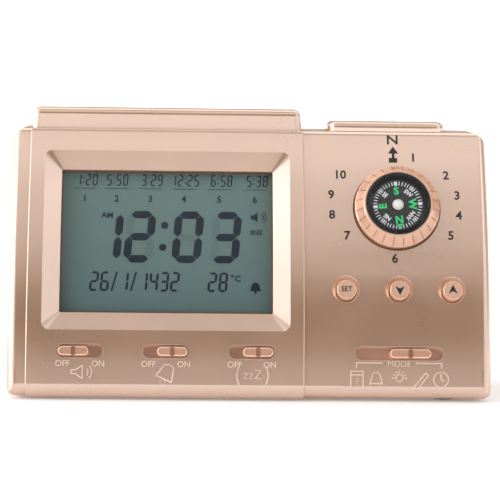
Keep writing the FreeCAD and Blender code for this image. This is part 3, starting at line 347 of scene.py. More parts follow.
segment_faint = moulded("segment_faint", (0.092, 0.138, 0.134), (0.100, 0.148, 0.142), 0.5, grain=0.02,
                        gloss=0.1)
print("finishes:", len(bpy.data.materials))

# %% [markdown]
# ## Clear pieces
# The window over the display and the compass's lid are clear. A thin clear sheet bends
# light very little, so it is cheaper and steadier to let most light straight through
# and keep only its reflection: a mirror with a very low alpha does just that, and its
# roughness says how sharp the reflection is.


# %% Clear window and lid, and the grey display glass
def clear_sheet(name, tint, alpha, rough):
    material, shader, nodes_, links = new_material(name)
    dust = object_noise(nodes_, links, 400.0, 3.0)
    spread = nodes_.new("ShaderNodeMapRange")
    spread.inputs["To Min"].default_value = rough
    spread.inputs["To Max"].default_value = rough + 0.03
    links.new(dust.outputs["Fac"], spread.inputs["Value"])
    links.new(spread.outputs["Result"], shader.inputs["Roughness"])
    shader.inputs["Base Color"].default_value = (*tint, 1)
    shader.inputs["Metallic"].default_value = 1.0
    shader.inputs["Alpha"].default_value = alpha
    return material


window_clear = clear_sheet("window_clear", (0.9, 0.95, 0.95), 0.012, 0.05)
lid_clear = clear_sheet("lid_clear", (0.9, 0.9, 0.9), 0.015, 0.03)
lamp_clear = clear_sheet("lamp_clear", (0.9, 0.86, 0.6), 0.6, 0.2)


def display_glass():
    material, shader, nodes_, links = new_material("display_glass")
    spot = nodes_.new("ShaderNodeTexCoord")
    split = nodes_.new("ShaderNodeSeparateXYZ")
    links.new(spot.outputs["Object"], split.inputs[0])
    # the grey is painted darker low on the glass and lighter towards its top: painted shade and light
    rise = nodes_.new("ShaderNodeMapRange")
    rise.inputs["From Min"].default_value = 0.022
    rise.inputs["From Max"].default_value = 0.070
    links.new(split.outputs["Z"], rise.inputs["Value"])
    shaded_tone, lit_tone = (0.098, 0.150, 0.147), (0.122, 0.182, 0.170)
    tone = two_tones(nodes_, links, rise.outputs["Result"], shaded_tone, lit_tone, 0, 1)
    links.new(tone, shader.inputs["Base Color"])
    haze = object_noise(nodes_, links, 3000.0, 2.0)
    add_bump(nodes_, links, shader, haze.outputs["Fac"], 0.05, 0.00001)
    shader.inputs["Roughness"].default_value = 0.5
    shader.inputs["Specular IOR Level"].default_value = 0.1
    return material


display_grey = display_glass()
print("clear sheets:", window_clear.name, lid_clear.name, lamp_clear.name)

# %% [markdown]
# ## Which node gets which finish
# The CAD nodes stay where they are, and only their material slots change. A node that
# no list names is an inner part, moulded in plain black.

# %% Give each CAD node its finish
finishes = [
    (champagne, ["front_housing", "rear_cover", "battery_door", "snooze_bar", "light_key"]),
    (copper, ["set_key", "down_key", "up_key", "city_dial"]),
    (slide_paint, ["call_slide", "alarm_slide", "snooze_slide", "mode_slide"]),
    (black_gloss, ["compass_case", "compass_card"]),
    (window_clear, ["lcd_window"]),
    (lid_clear, ["compass_lens"]),
    (display_grey, ["lcd_cell"]),
    (white_plastic, ["light_guide", "lcd_frame"]),
    (lamp_clear, ["backlight_led"]),
    (green_board, ["main_board", "top_board"]),
    (nickel, ["clock_crystal", "rotary_shaft", "speaker", "battery_plates", "battery_springs",
              "case_screws", "board_screws", "compass_pivot"]),
    (silicone, ["lcd_connectors"]),
    (pressed_paper, ["speaker_cone"]),
    (sleeve, ["battery_1", "battery_2", "battery_3"]),
    (foot_rubber, ["rubber_feet"]),
]
painted = set()
for finish, names in finishes:
    for name in names:
        nodes[name].data.materials.clear()
        nodes[name].data.materials.append(finish)
        painted.add(name)
for name, node in nodes.items():
    if name not in painted:
        node.data.materials.clear()
        node.data.materials.append(black_matte)
print("moulded in black:", sorted(set(nodes) - painted))

# %% [markdown]
# ## The sloping surround of the display
# A rounded rectangle that changes size and height is a loft: the same number of points
# on every loop, and faces between neighbouring loops. The outer loop has big corners
# and lies on the panel, the inner one is the window's edge, down in the recess.

# %% A loft through rounded rectangles on the curved face
window_x, window_s = -26.0, 45.7
recess_depth = 2.5
corner_steps, side_steps = 8, 20


def rounded_loop(half_x, half_s, radius):
    points = []
    for turn, (sign_x, sign_s) in enumerate(((1, 1), (-1, 1), (-1, -1), (1, -1))):
        centre_x, centre_s = sign_x * (half_x - radius), sign_s * (half_s - radius)
        points += arc_points(centre_x, centre_s, radius, 90 * turn, 90 * turn + 90, corner_steps)
        next_x, next_s = ((-sign_x, sign_s), (sign_x, -sign_s))[turn % 2]
        end_x, end_s = points[-1]
        if turn % 2:
            far_x, far_s = end_x, next_s * (half_s - radius)
        else:
            far_x, far_s = next_x * (half_x - radius), end_s
        for step in range(1, side_steps):
            share = step / side_steps
            points.append((end_x + (far_x - end_x) * share, end_s + (far_s - end_s) * share))
    return points


def loft(loops):
    verts = [face_point((window_x + x) * MM, (window_s + s) * MM, n * MM)
             for loop, n in loops for x, s in loop]
    count = len(loops[0][0])
    faces = []
    for row in range(len(loops)):
        low, high = row * count, (row + 1) % len(loops) * count
        for i in range(count):
            j = (i + 1) % count
            faces.append([low + i, low + j, high + j, high + i])
    return verts, faces


rim_loop = rounded_loop(38.62, 29.22, 0.8)
outer_loop = rounded_loop(38.45, 29.05, 2.4)
inner_loop = rounded_loop(33.15, 23.4, 0.6)
on_top, under = 0.015, -0.15
surround = [(rim_loop, on_top), (outer_loop, on_top),
            (inner_loop, 0.03 - recess_depth), (inner_loop, under - recess_depth),
            (outer_loop, under), (rim_loop, under)]
bezel = piece("display_surround", [loft(surround)], champagne, "case", True)
bezel.data.set_sharp_from_angle(angle=math.radians(12))

# %% [markdown]
# ## The display's segments
# A seven-segment digit is seven bars with pointed ends round a slanted figure 8. The
# bars sit on the display glass, well behind the window. Only the lit ones are dark;
# the others can just be seen, so they get a fainter tone.

# %% Seven bars, and which of them each digit lights
lit_bars = {
    "0": "abcdef", "1": "bc", "2": "abged", "3": "abgcd", "4": "fgbc",
    "5": "afgcd", "6": "afgedc", "7": "abc", "8": "abcdefg", "9": "abcdfg",
}
digit_slant = math.tan(math.radians(4.5))


def digit_bars(width, height, thick, gap):
    w, h, t = width, height, thick

    def level(y):
        return [(gap + t / 2, y), (gap + t, y + t / 2), (w - gap - t, y + t / 2),
                (w - gap - t / 2, y), (w - gap - t, y - t / 2), (gap + t, y - t / 2)]

    def upright(x, low, high):
        return [(x, low + gap), (x + t / 2, low + gap + t / 2), (x + t / 2, high - gap - t / 2),
                (x, high - gap), (x - t / 2, high - gap - t / 2), (x - t / 2, low + gap + t / 2)]

    middle = h / 2
    return {
        "a": level(h - t / 2), "g": level(middle), "d": level(t / 2),
        "f": upright(t / 2, middle, h - t / 2), "b": upright(w - t / 2, middle, h - t / 2),
        "e": upright(t / 2, t / 2, middle), "c": upright(w - t / 2, t / 2, middle),
    }


def digit(value, x, u, width, height, thick, gap, unlit=False):
    shapes = []
    for bar, outline in digit_bars(width, height, thick, gap).items():
        if (bar in lit_bars[value]) != unlit:
            shapes.append([(x + px + py * digit_slant, u + py) for px, py in outline])
    return shapes


# %% The big time, the row of small times, the date and the temperature
glass_n = -6.2
big = dict(width=9.2, height=16.9, thick=2.45, gap=0.1)
small = dict(width=1.6, height=3.9, thick=0.42, gap=0.04)
middle_size = dict(width=2.75, height=6.4, thick=0.72, gap=0.05)
small_pitch, middle_pitch = 2.15, 3.3
lit, faint = [], []
big_u = -8.25
for value, x in (("2", -39.8), ("0", -24.7), ("3", -12.8)):
    lit += digit(value, x, big_u, **big)
    faint += digit(value, x, big_u, unlit=True, **big)
lit += digit("1", -49.9, big_u, **big)
colon_x, colon_radius = -27.7, 1.15
for u in (4.0, -3.2):
    lit.append(disc(colon_x + (u - big_u) * digit_slant, u, colon_radius))
small_times = [("1", "20", -54.9), ("5", "50", -45.3), ("3", "29", -34.4),
               ("12", "25", -25.0), ("6", "58", -12.4), ("5", "38", -1.1)]
small_u = 16.9
for hours, minutes, x in small_times:
    for value in hours:
        lit += digit(value, x, small_u, **small)
        x += small_pitch
    for dot in (1.1, 2.7):
        lit.append(rectangle(x + 0.1, small_u + dot - 0.22, x + 0.5, small_u + dot + 0.22))
    x += 0.85
    for value in minutes:
        lit += digit(value, x, small_u, **small)
        x += small_pitch
date_u = -17.6
x = -50.2
for mark in "26/1/1432":
    if mark == "/":
        lit += ribbon([(x + 0.5, date_u + 0.2), (x + 2.1, date_u + middle_size["height"] - 0.2)], 0.55)
        x += 2.7
    else:
        lit += digit(mark, x, date_u, **middle_size)
        x += middle_pitch
for value, x in (("2", -13.3), ("8", -9.9)):
    lit += digit(value, x, date_u, **middle_size)
print("lit bars:", len(lit), "faint bars:", len(faint))

# %% Lines, words and small signs on the display
small_time_x = (-52.0, -42.0, -31.4, -20.8, -9.6, 1.6)
signs = []
for x in small_time_x:
    signs += ribbon([(x - 3.6, 16.0), (x + 3.8, 16.0)], 0.18)
bell = arc_points(1.8, -15.6, 1.25, 0, 180, 8) + [(0.1, -17.2), (3.5, -17.2)]
signs.append(bell)
signs.append(disc(1.8, -17.6, 0.45, 10))
# a horn, after the two waves that leave it
for radius in (1.0, 1.9):
    signs += ribbon(arc_points(3.3, 6.9, radius, -60, 60, 6), 0.3)
signs.append([(0.3, 6.2), (1.3, 6.2), (2.5, 5.2), (2.5, 8.6), (1.3, 7.6), (0.3, 7.6)])
glass_low, glass_high = glass_n + 0.005, glass_n + 0.05
shapes = [thin_solids(lit + signs, glass_low, glass_high, works_point)]
word_rows = [("AM", 2.6, -44.8, 7.1), ("SNZ", 2.1, 2.1, 1.9),
             ("C", 2.7, -3.7, -13.3), ("o", 1.6, -5.4, -12.2)]
for k, x in enumerate(small_time_x):
    word_rows.append((str(k + 1), 3.0, x, 12.6))
for text, size, x, u in word_rows:
    shapes.append(letters(text, size, x, u, glass_low, glass_high, works_point, bold=0.07))
piece("lcd_segments", shapes, segment_dark, "case")
piece("lcd_faint_segments", [thin_solids(faint, glass_low, glass_n + 0.02, works_point)],
      segment_faint, "case")

# %% [markdown]
# ## Printing on the face
# The dial has ten numbered places round it, a pointer at the top, and the two arrow
# keys and the SET key carry black marks. Print is a very thin film of ink, so it
# stands only a few hundredths of a millimetre over the paint.

# %% Numbers and pointer round the dial
ink_low, ink_high = -0.15, 0.06
places = [(51.6, 73.7), (61.8, 67.6), (65.1, 60.8), (65.5, 54.1), (62.8, 47.5),
          (45.1, 39.9), (30.2, 47.2), (25.6, 54.0), (25.4, 60.7), (28.3, 67.5)]
marks = []
for k, (x, s) in enumerate(places):
    marks.append(letters(str(k + 1), 3.9, x, s, ink_low, ink_high, face_point, bold=0.09))
north = ribbon([(43.8, 78.6), (43.8, 81.6)], 0.6) + ribbon([(46.6, 78.6), (46.6, 81.6)], 0.6)
north += ribbon([(43.8, 81.4), (46.6, 78.8)], 0.6)
marks.append(thin_solids(north, ink_low, ink_high, face_point))
arrow = [[(43.7, 75.2), (46.9, 75.2), (45.3, 77.6)], rectangle(44.9, 73.4, 45.7, 75.4)]
arrow.append(rectangle(43.9, 72.0, 46.5, 73.6))
marks.append(thin_solids(arrow, ink_low, ink_high, face_point))
piece("dial_numbers", marks, ink_black, "case")

# %% Marks on the three round keys
key_top_n = 1.7
key_u = -18.35
key_low, key_high = key_top_n - 0.05, key_top_n + 0.02
set_word = letters("SET", 2.35, 29.8, key_u, key_low, key_high, works_point, bold=0.05, squeeze=0.92)
piece("set_mark", [set_word], ink_black, "set_key")
for name, x, way in (("down", 46.3, -1), ("up", 62.8, 1)):
    head = [(x - 1.45, key_u - way * 1.15), (x, key_u - way * 0.35), (x + 1.45, key_u - way * 1.15),
            (x, key_u + way * 1.75)]
    piece(name + "_mark", [thin_solids([head], key_low, key_high, works_point)],
          ink_black, name + "_key")

# %% [markdown]
# ## Raised signs under the switches
# These are moulded in the housing and stand a third of a millimetre over it. On the
# real clock their edges catch the light and read as pale lines, so they get a paler
# tone of the housing's paint. Each is drawn as thin ribbons and laid on the face.

# %% OFF and ON, the call, bell and snooze signs
raised_low, raised_high = -0.3, 0.3
line = 0.36


def on_raised(x, s, n):
    # low on the face a sign is shaved off where it would pass the front of the clock
    spot = face_point(x, s, n)
    spot.y = max(spot.y, cad_low.y)
    return spot


def raised_word(text, size, x, s, bold):
    return letters(text, size, x, s, raised_low, raised_high, on_raised, bold=bold)


raised = []
for x in (-52.4, -26.0, 0.55):
    raised.append(raised_word("OFF", 2.6, x - 5.3, 6.2, 0.04))
    raised.append(raised_word("ON", 2.6, x + 5.6, 6.2, 0.04))
drawing = []
# a horn with two waves: the call
horn = [(-55.0, 3.2), (-53.8, 3.2), (-51.6, 1.7), (-51.6, 5.7), (-53.8, 4.3), (-55.0, 4.3)]
drawing += ribbon(horn, line, True)
drawing += ribbon(arc_points(-51.2, 3.7, 1.4, -45, 45, 6), line)
drawing += ribbon(arc_points(-51.2, 3.7, 2.5, -45, 45, 6), line)
# a tilted bell
tilt = math.radians(-25)
bell_line = arc_points(0, 1.2, 1.9, 0, 180, 10) + [(-2.6, -1.6), (2.6, -1.6)]
tilted_bell = [
    (x * math.cos(tilt) - y * math.sin(tilt) - 25.9, x * math.sin(tilt) + y * math.cos(tilt) + 3.2)
    for x, y in bell_line
]
drawing += ribbon(tilted_bell, line, True)
drawing += ribbon(arc_points(-26.9, 0.9, 0.7, 150, 390, 8), line)
# two brackets round a small z and a big Z
drawing += ribbon(arc_points(2.6, 3.0, 6.6, 155, 205, 8), line)
drawing += ribbon(arc_points(-1.0, 3.0, 6.6, -25, 25, 8), line)
raised.append(thin_solids(drawing, raised_low, raised_high, on_raised))
raised.append(raised_word("zzZ", 4.0, 0.8, 3.1, -0.06))
piece("raised_signs_left", raised, champagne_sign, "case")

# %% The mode switch's bracket and its five signs
drawing = []
drawing += ribbon([(33.0, 5.7), (33.0, 7.2), (41.0, 7.2)], line)
drawing += ribbon([(51.5, 7.2), (59.4, 7.2), (59.4, 5.7)], line)
# a day sheet
drawing += ribbon(rectangle(31.2, -0.5, 35.0, 4.6), line, True)
drawing += ribbon([(31.2, 3.5), (35.0, 3.5)], line)
# a bell
drawing += ribbon(arc_points(39.1, 3.0, 1.3, 0, 180, 8) + [(37.2, 0.8), (41.0, 0.8)], line, True)
drawing += ribbon([(38.0, -0.2), (40.2, -0.2)], line)
# a sun over a line
drawing += ring(46.3, 2.6, 1.1, line, 14)
for k in range(7):
    turn = math.radians(k * 30)
    drawing += ribbon([(46.3 + 1.6 * math.cos(turn), 2.6 + 1.6 * math.sin(turn)),
                       (46.3 + 2.3 * math.cos(turn), 2.6 + 2.3 * math.sin(turn))], line)
drawing += ribbon([(43.9, -0.2), (48.7, -0.2)], line)
# a pen
drawing += ribbon([(51.2, 0.2), (54.4, 4.2), (55.3, 3.5), (52.1, -0.5), (51.0, -0.6)], line, True)
# a small clock
drawing += ring(59.2, 2.2, 2.3, line)
drawing += ribbon([(59.2, 3.8), (59.2, 2.2), (60.2, 1.8)], line)
raised = [thin_solids(drawing, raised_low, raised_high, on_raised)]
raised.append(raised_word("MODE", 2.6, 46.2, 6.9, 0.0))
raised.append(raised_word("7", 2.6, 33.1, 1.4, -0.04))
piece("raised_signs_right", raised, champagne_sign, "case")

# %% [markdown]
# ## Slots, slides and the window's edge
# Small edges say how well a thing is made. Each slot has a thin lip with a painted
# highlight in a paler paint, each slide's groove for a fingernail gets a dark strip of
# painted shade, and a dark line of painted shade lies where the window meets its frame.
# All three are lines on the face's ruler, at their own heights n.


# %% Painted highlights on the thin lips round the slots of the four switches
slot_s, slot_height = 10.1, 4.42
short_slot, long_slot = 14.42, 27.72


def stadium_line(x, s, length, height):
    half, radius = (length - height) / 2, height / 2
    return arc_points(x + half, s, radius, -90, 90, 10) + arc_points(x - half, s, radius, 90, 270, 10)


# each lip gets a paler ribbon: a painted highlight where the lip catches the light
lip_highlights = []
slots = [(-52.475, short_slot), (-26.0, short_slot), (0.475, short_slot), (46.2, long_slot)]
for x, length in slots:
    lip_highlights += ribbon(stadium_line(x, slot_s, length, slot_height), 0.3, True)
piece("slot_lip_highlights", [thin_solids(lip_highlights, 0.1, 0.3, face_point)], champagne_highlight, "case")

# %% Painted shade over the groove in the middle of each slide
groove_shade_spots = [("call_slide", -54.475), ("alarm_slide", -24.0), ("snooze_slide", 2.475), ("mode_slide", 49.7)]
groove_shade_half_width, groove_shade_half_height = 0.7, 1.2
# a thin dark strip over each slide's groove is painted shade, not a cut
for body, x in groove_shade_spots:
    groove_shade_strip = rectangle(x - groove_shade_half_width, slot_s - groove_shade_half_height,
                      x + groove_shade_half_width, slot_s + groove_shade_half_height)
    piece(body + "_groove_shade", [thin_solids([groove_shade_strip], 1.1, 1.23, face_point)], groove_shade_paint, body)

# %% The shade along the edge of the window
edge_line = [(window_x + x, window_s + s) for x, s in rounded_loop(32.92, 23.17, 0.5)]
piece("window_edge_shade", [thin_solids(ribbon(edge_line, 0.45, True), -3.75, -3.55, face_point)],
      copper_shade, "case")

# %% [markdown]
# ## The compass card
# A ring of ticks is the same short bar many times round a circle, which is what
# Geometry Nodes are for: points on a circle, a bar on each point, turned to face the
# centre. The tree's inputs are the real sizes, so the same tree makes the thick ticks
# at the four main points and the thin ones between them.

# %% A node tree that sets bars round a circle
compass_x, compass_u = 45.95, 8.5


def add_input(tree, name, kind, value):
    socket = tree.interface.new_socket(name=name, in_out="INPUT", socket_type=kind)
    if value is not None:
        socket.default_value = value
    return socket


def bars_tree():
    tree = bpy.data.node_groups.new("bars_round_a_circle", "GeometryNodeTree")
    add_input(tree, "Count", "NodeSocketInt", 8)
    add_input(tree, "Radius", "NodeSocketFloat", 0.007)
    add_input(tree, "Length", "NodeSocketFloat", 0.001)
    add_input(tree, "Width", "NodeSocketFloat", 0.0003)
    add_input(tree, "Height", "NodeSocketFloat", 0.00005)
    add_input(tree, "Turn", "NodeSocketFloat", 0.0)
    add_input(tree, "Material", "NodeSocketMaterial", None)
    tree.interface.new_socket(name="Geometry", in_out="OUTPUT", socket_type="NodeSocketGeometry")
    add, link = tree.nodes.new, tree.links.new
    given = add("NodeGroupInput")
    circle = add("GeometryNodeMeshCircle")
    link(given.outputs["Count"], circle.inputs["Vertices"])
    link(given.outputs["Radius"], circle.inputs["Radius"])
    size = add("ShaderNodeCombineXYZ")
    link(given.outputs["Length"], size.inputs["X"])
    link(given.outputs["Width"], size.inputs["Y"])
    link(given.outputs["Height"], size.inputs["Z"])
    bar = add("GeometryNodeMeshCube")
    link(size.outputs[0], bar.inputs["Size"])
    spot = add("GeometryNodeInputPosition")
    aim = add("FunctionNodeAlignEulerToVector")
    aim.axis = "X"
    link(spot.outputs[0], aim.inputs["Vector"])
    copies = add("GeometryNodeInstanceOnPoints")
    link(circle.outputs["Mesh"], copies.inputs["Points"])
    link(bar.outputs["Mesh"], copies.inputs["Instance"])
    link(aim.outputs[0], copies.inputs["Rotation"])
    solid = add("GeometryNodeRealizeInstances")
    link(copies.outputs[0], solid.inputs[0])
    turn = add("ShaderNodeCombineXYZ")
    link(given.outputs["Turn"], turn.inputs["Z"])
    spun = add("GeometryNodeTransform")
    link(solid.outputs[0], spun.inputs["Geometry"])
    link(turn.outputs[0], spun.inputs["Rotation"])
    paint = add("GeometryNodeSetMaterial")
    link(spun.outputs[0], paint.inputs["Geometry"])
    link(given.outputs["Material"], paint.inputs["Material"])
    out = add("NodeGroupOutput")
    link(paint.outputs[0], out.inputs["Geometry"])
    return tree


ticks_tree = bars_tree()
tree_sockets = ticks_tree.interface.items_tree
print("inputs of the tree:", [item.name for item in tree_sockets if item.in_out == "INPUT"])


# %% Run the tree and lay what it gives on the dial
def from_tree(tree, **values):
    # runs a tree on an empty mesh and gives back its points and faces, in its own frame
    holder = bpy.data.objects.new("holder", bpy.data.meshes.new("holder"))
    bpy.context.collection.objects.link(holder)
    modifier = holder.modifiers.new("tree", "NODES")
    modifier.node_group = tree
    for item in tree.interface.items_tree:
        if item.in_out == "INPUT" and item.name in values:
            modifier[item.identifier] = values[item.name]
    ready = bpy.context.evaluated_depsgraph_get()
    shape = bpy.data.meshes.new_from_object(holder.evaluated_get(ready))
    verts = [v.co.copy() for v in shape.vertices]
    faces = [list(p.vertices) for p in shape.polygons]
    holder.modifiers.clear()
    bpy.data.objects.remove(holder)
    bpy.data.meshes.remove(shape)
    return verts, faces


def round_dial(part, n):
    verts, faces = part
    return [works_point(compass_x * MM + v.x, compass_u * MM + v.y, n * MM + v.z) for v in verts], faces


# %% Ticks, letters and the green arrow of the card
card_n = 3.4
card_turn = math.radians(180 + 5)
ticks = []
tick_outer_radius = 7.7
# length, width, and the angles from a main point at which a set of four ticks starts
tick_sets = [
    (1.35, 0.95, [0]),
    (1.35, 0.42, [45]),
    (1.35, 0.3, [39.5, 50.5]),
    (1.2, 0.26, [9, 17, 25, 32, 58, 65, 73, 81]),
]
for length, width, angles in tick_sets:
    for angle in angles:
        made = from_tree(ticks_tree, Count=4, Radius=(tick_outer_radius - length / 2) * MM,
                         Length=length * MM, Width=width * MM, Height=0.05 * MM,
                         Turn=card_turn + math.radians(angle), Material=ink_white)
        ticks.append(round_dial(made, card_n + 0.01))
print("tick sets:", len(ticks))


def on_card(angle):
    # letters stand with their feet to the centre; angle is where they are, north = 90
    def place(x, y, n):
        turn = Matrix.Rotation(card_turn + math.radians(angle - 90), 2)
        spot = turn @ Vector((x, y + card_letter_radius))
        return works_point(compass_x * MM + spot.x, compass_u * MM + spot.y, n)
    return place


card_low, card_high = card_n - 0.01, card_n + 0.05
card_letter_radius = 4.6 * MM
green = [letters(word, 3.3, 0, 0, card_low, card_high, on_card(angle), bold=0.14)
         for word, angle in (("N", 90), ("E", 0), ("S", 270), ("W", 180))]
card_letter_radius = 5.1 * MM
white = [letters(word, 1.9, 0, 0, card_low, card_high, on_card(angle), bold=0.05)
         for word, angle in (("NE", 45), ("SE", 315), ("SW", 225), ("NW", 135))]
card_letter_radius = 0.0
green.append(thin_solids([[(-0.9, 6.1), (0.9, 6.1), (0, 7.9)]], card_low, card_high + 0.02, on_card(90)))
piece("card_ticks", ticks + white, ink_white, "compass_card")
piece("card_letters", green, ink_green, "compass_card")

# %% [markdown]
# ## A turned cap
# The white cap over the card's pivot is a lathe shape: a profile of radius and height,
# swung once round the axis. Its first and last points lie on the axis, so it closes.


# %% The white plate and cap in the middle of the card
def turned(profile, place, sides=32):
    # a closed solid from (radius, n) points, the first and last of them on the axis
    verts = [place(0, 0, profile[0][1] * MM)]
    for radius, n in profile[1:-1]:
        verts += [place(x * MM, y * MM, n * MM) for x, y in disc(0, 0, radius, sides)]
    verts.append(place(0, 0, profile[-1][1] * MM))
    rows = len(profile) - 2
    faces = []
    for i in range(sides):
        j = (i + 1) % sides
        faces.append([0, 1 + j, 1 + i])
        for row in range(rows - 1):
            a, b = 1 + row * sides, 1 + (row + 1) * sides
            faces.append([a + i, a + j, b + j, b + i])
        last = 1 + (rows - 1) * sides
        faces.append([last + i, last + j, len(verts) - 1])
    return verts, faces


hub_plate = disc(0, 0, 1.74, 32)
piece("card_hub_plate", [thin_solids([hub_plate], 4.05, 4.13, on_card(90))], white_plastic,
      "compass_card")
dome_turns = [math.radians(t) for t in range(0, 90, 10)]
dome_radius = 1.13
dome_arc = [(0.35 + dome_radius * math.cos(t), 4.2 + dome_radius * math.sin(t)) for t in dome_turns]
hub_dome = turned([(0, 4.06), (1.48, 4.06)] + dome_arc + [(0, 5.34)], on_card(90))
piece("card_hub_dome", [hub_dome], white_plastic, "compass_card", True)

# %% [markdown]
# ## The dial's ring
# The same tree draws the 24 fine lines across the dial's ring. The ring slopes, so
# another ruler lifts each point of a line by how far it lies from the axis. A dark
# line of shade marks the gap between the dial and the face.

# %% Lines across the dial's sloping ring, and the dark gap round its foot
slope_foot, slope_head = (13.0, 2.4), (10.95, 5.2)


def on_slope(x, y, n):
    out = Vector((x, y)).length / MM
    share = (slope_foot[0] - out) / (slope_foot[0] - slope_head[0])
    rise = slope_foot[1] + share * (slope_head[1] - slope_foot[1])
    return works_point(compass_x * MM + x, compass_u * MM + y, rise * MM + n)


# the fine lines are dark: painted shade along the ribs of the ring
line_count = 24
line_sink = 0.015 * MM
flat_verts, line_faces = from_tree(ticks_tree, Count=line_count, Radius=12.0 * MM, Length=1.752 * MM,
                                   Width=0.13 * MM, Height=0.07 * MM, Turn=math.pi / line_count,
                                   Material=copper_shade)
line_verts = [on_slope(v.x, v.y, v.z - line_sink) for v in flat_verts]
piece("ring_lines", [(line_verts, line_faces)], copper_shade, "city_dial")
dial_turn = draw_lean - low_lean + math.asin(compass_u * MM / face_radius)
dial_s = dial_turn * face_radius / MM
gap_ring = ring(compass_x, dial_s, 13.62, 0.42, 72)
piece("dial_gap_shade", [thin_solids(gap_ring, -0.3, 0.03, face_point)], copper_shade, "case")

# %% [markdown]
# ## Stage, light and camera
# A pale floor and a pale room give the even white of a product shot. Glossy paint
# shows what it reflects: the top of the face leans back and sees the bright ceiling,
# its foot looks forward into a dimmer room, and the lip under it sees the white floor
# again. So the room's light is a ramp over height: white at the horizon, dim above it
# and bright overhead. The two sides of the room are bright walls at any height.

# %% The floor
floor_mesh = bpy.data.meshes.new("floor")
floor_half = 12.0
floor_mesh.from_pydata([(-floor_half, -floor_half, 0), (floor_half, -floor_half, 0),
                        (floor_half, floor_half, 0), (-floor_half, floor_half, 0)], [], [(0, 1, 2, 3)])
floor = bpy.data.objects.new("floor", floor_mesh)
bpy.context.collection.objects.link(floor)
floor_mat, floor_shader, floor_nodes, floor_links = new_material("pale_floor")
floor_shader.inputs["Base Color"].default_value = (0.92, 0.92, 0.92, 1)
floor_shader.inputs["Roughness"].default_value = 0.9
floor_shader.inputs["Emission Color"].default_value = (1, 1, 1, 1)
# the floor's own glow is painted light: dim near the clock as painted shade round it, and brighter
# farther off, like the sweep of a light table
from_clock = floor_nodes.new("ShaderNodeTexCoord")
distance = floor_nodes.new("ShaderNodeVectorMath")
distance.operation = "LENGTH"
floor_links.new(from_clock.outputs["Object"], distance.inputs[0])
painted_floor_glow = floor_nodes.new("ShaderNodeMapRange")
painted_floor_glow.inputs["From Min"].default_value = 0.3
painted_floor_glow.inputs["From Max"].default_value = 1.1
painted_floor_glow.inputs["To Min"].default_value = 0.15
painted_floor_glow.inputs["To Max"].default_value = 1.3
floor_links.new(distance.outputs["Value"], painted_floor_glow.inputs["Value"])
floor_links.new(painted_floor_glow.outputs["Result"], floor_shader.inputs["Emission Strength"])
floor_mesh.materials.append(floor_mat)
print("the floor is", 2 * floor_half, "m wide and is part of the stage")


# %% The room, by height and by side
def grey_ramp(tree, stops):
    ramp = tree.nodes.new("ShaderNodeValToRGB")
    first, last = ramp.color_ramp.elements
    first.color = (stops[0][1],) * 3 + (1,)
    last.color = (stops[-1][1],) * 3 + (1,)
    for position, value in stops[1:-1]:
        stop = ramp.color_ramp.elements.new(position)
        stop.color = (value, value, value, 1)
    return ramp


world = bpy.data.worlds.new("studio")
bpy.context.scene.world = world
world.use_nodes = True
room = world.node_tree
backdrop = room.nodes["Background"]
way = room.nodes.new("ShaderNodeTexCoord")
parts_of_way = room.nodes.new("ShaderNodeSeparateXYZ")
room.links.new(way.outputs["Generated"], parts_of_way.inputs[0])
# height of the direction, then how bright the room is there
height_stops = [(0.0, 2.4), (0.04, 1.1), (0.12, 0.55), (0.17, 0.40), (0.24, 0.12), (0.32, 0.0),
                (0.42, 0.05), (0.50, 0.42), (0.62, 0.80), (0.76, 0.86), (0.84, 1.5), (0.90, 0.6),
                (1.0, 0.45)]
ramp = grey_ramp(room, height_stops)
room.links.new(parts_of_way.outputs["Z"], ramp.inputs["Fac"])
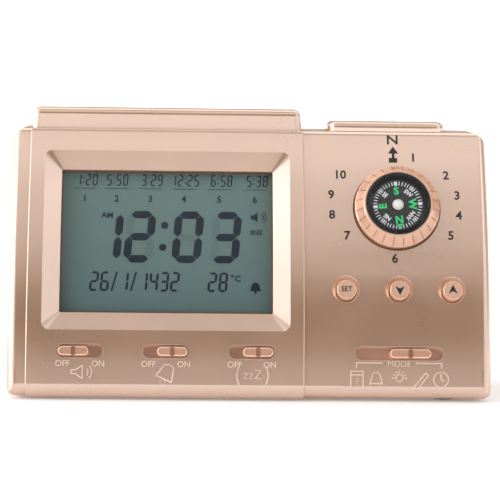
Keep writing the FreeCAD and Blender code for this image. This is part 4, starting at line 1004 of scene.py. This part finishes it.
# direction to the side, halved and shifted so that straight ahead is 0.5
side_stops = [(0.0, 2.3), (0.12, 2.0), (0.30, 0.0), (0.72, 0.0), (0.85, 1.5), (0.93, 0.55), (1.0, 0.45)]
side_ramp = grey_ramp(room, side_stops)
halved = room.nodes.new("ShaderNodeMapRange")
halved.inputs["From Min"].default_value = -1.0
room.links.new(parts_of_way.outputs["X"], halved.inputs["Value"])
room.links.new(halved.outputs["Result"], side_ramp.inputs["Fac"])
walls = room.nodes.new("ShaderNodeMix")
walls.data_type = "RGBA"
walls.blend_type = "LIGHTEN"
walls.inputs[0].default_value = 1.0
room.links.new(ramp.outputs["Color"], walls.inputs[6])
room.links.new(side_ramp.outputs["Color"], walls.inputs[7])
room.links.new(walls.outputs[2], backdrop.inputs["Color"])
backdrop.inputs["Strength"].default_value = 1.0
print("room stops by height:", len(height_stops), "by side:", len(side_stops))


# %% Three soft lamps
def soft_lamp(name, place, aim, width, height, watts):
    lamp = bpy.data.lights.new(name, "AREA")
    lamp.shape = "RECTANGLE"
    lamp.size = width
    lamp.size_y = height
    lamp.energy = watts
    holder = bpy.data.objects.new(name, lamp)
    holder.location = place
    holder.rotation_euler = (Vector(aim) - Vector(place)).to_track_quat("-Z", "Y").to_euler()
    bpy.context.collection.objects.link(holder)
    return holder


clock_middle = (0, 0, 0.04)
soft_lamp("top_lamp", (0.0, 0.3, 1.1), clock_middle, 1.2, 0.6, 3.0)
soft_lamp("left_lamp", (-1.1, -0.35, 0.5), clock_middle, 0.6, 0.9, 3.0)
soft_lamp("right_lamp", (1.1, -0.35, 0.5), clock_middle, 0.5, 0.9, 1.0)
print("lamps:", [lamp.name for lamp in bpy.data.lights])

# %% [markdown]
# ## The camera
# The camera has the photograph's angle: nearly level, a little from the left, with a
# long lens. Its matrix is built from three directions, right, up and backwards, and
# from its place.

# %% Camera at the photograph's angle
camera_place = Vector((-0.0255, -0.7057, 0.1160))
yaw, pitch, roll = math.radians(2.10), math.radians(5.78), math.radians(0.80)
ahead = Vector((math.cos(pitch) * math.sin(yaw), math.cos(pitch) * math.cos(yaw), -math.sin(pitch)))
level_right = Vector((math.cos(yaw), -math.sin(yaw), 0))
upward = level_right.cross(ahead)
right = math.cos(roll) * level_right + math.sin(roll) * upward
upward = -math.sin(roll) * level_right + math.cos(roll) * upward
lens = bpy.data.cameras.new("camera")
lens.sensor_width = 36.0
lens.lens = 161.0
lens.clip_start = 0.01
camera = bpy.data.objects.new("camera", lens)
camera.matrix_world = Matrix((
    (right.x, upward.x, -ahead.x, camera_place.x),
    (right.y, upward.y, -ahead.y, camera_place.y),
    (right.z, upward.z, -ahead.z, camera_place.z),
    (0, 0, 0, 1),
))
bpy.context.collection.objects.link(camera)
bpy.context.scene.camera = camera
bpy.context.scene.view_settings.view_transform = "Standard"
print("camera looks along", [round(c, 3) for c in ahead])
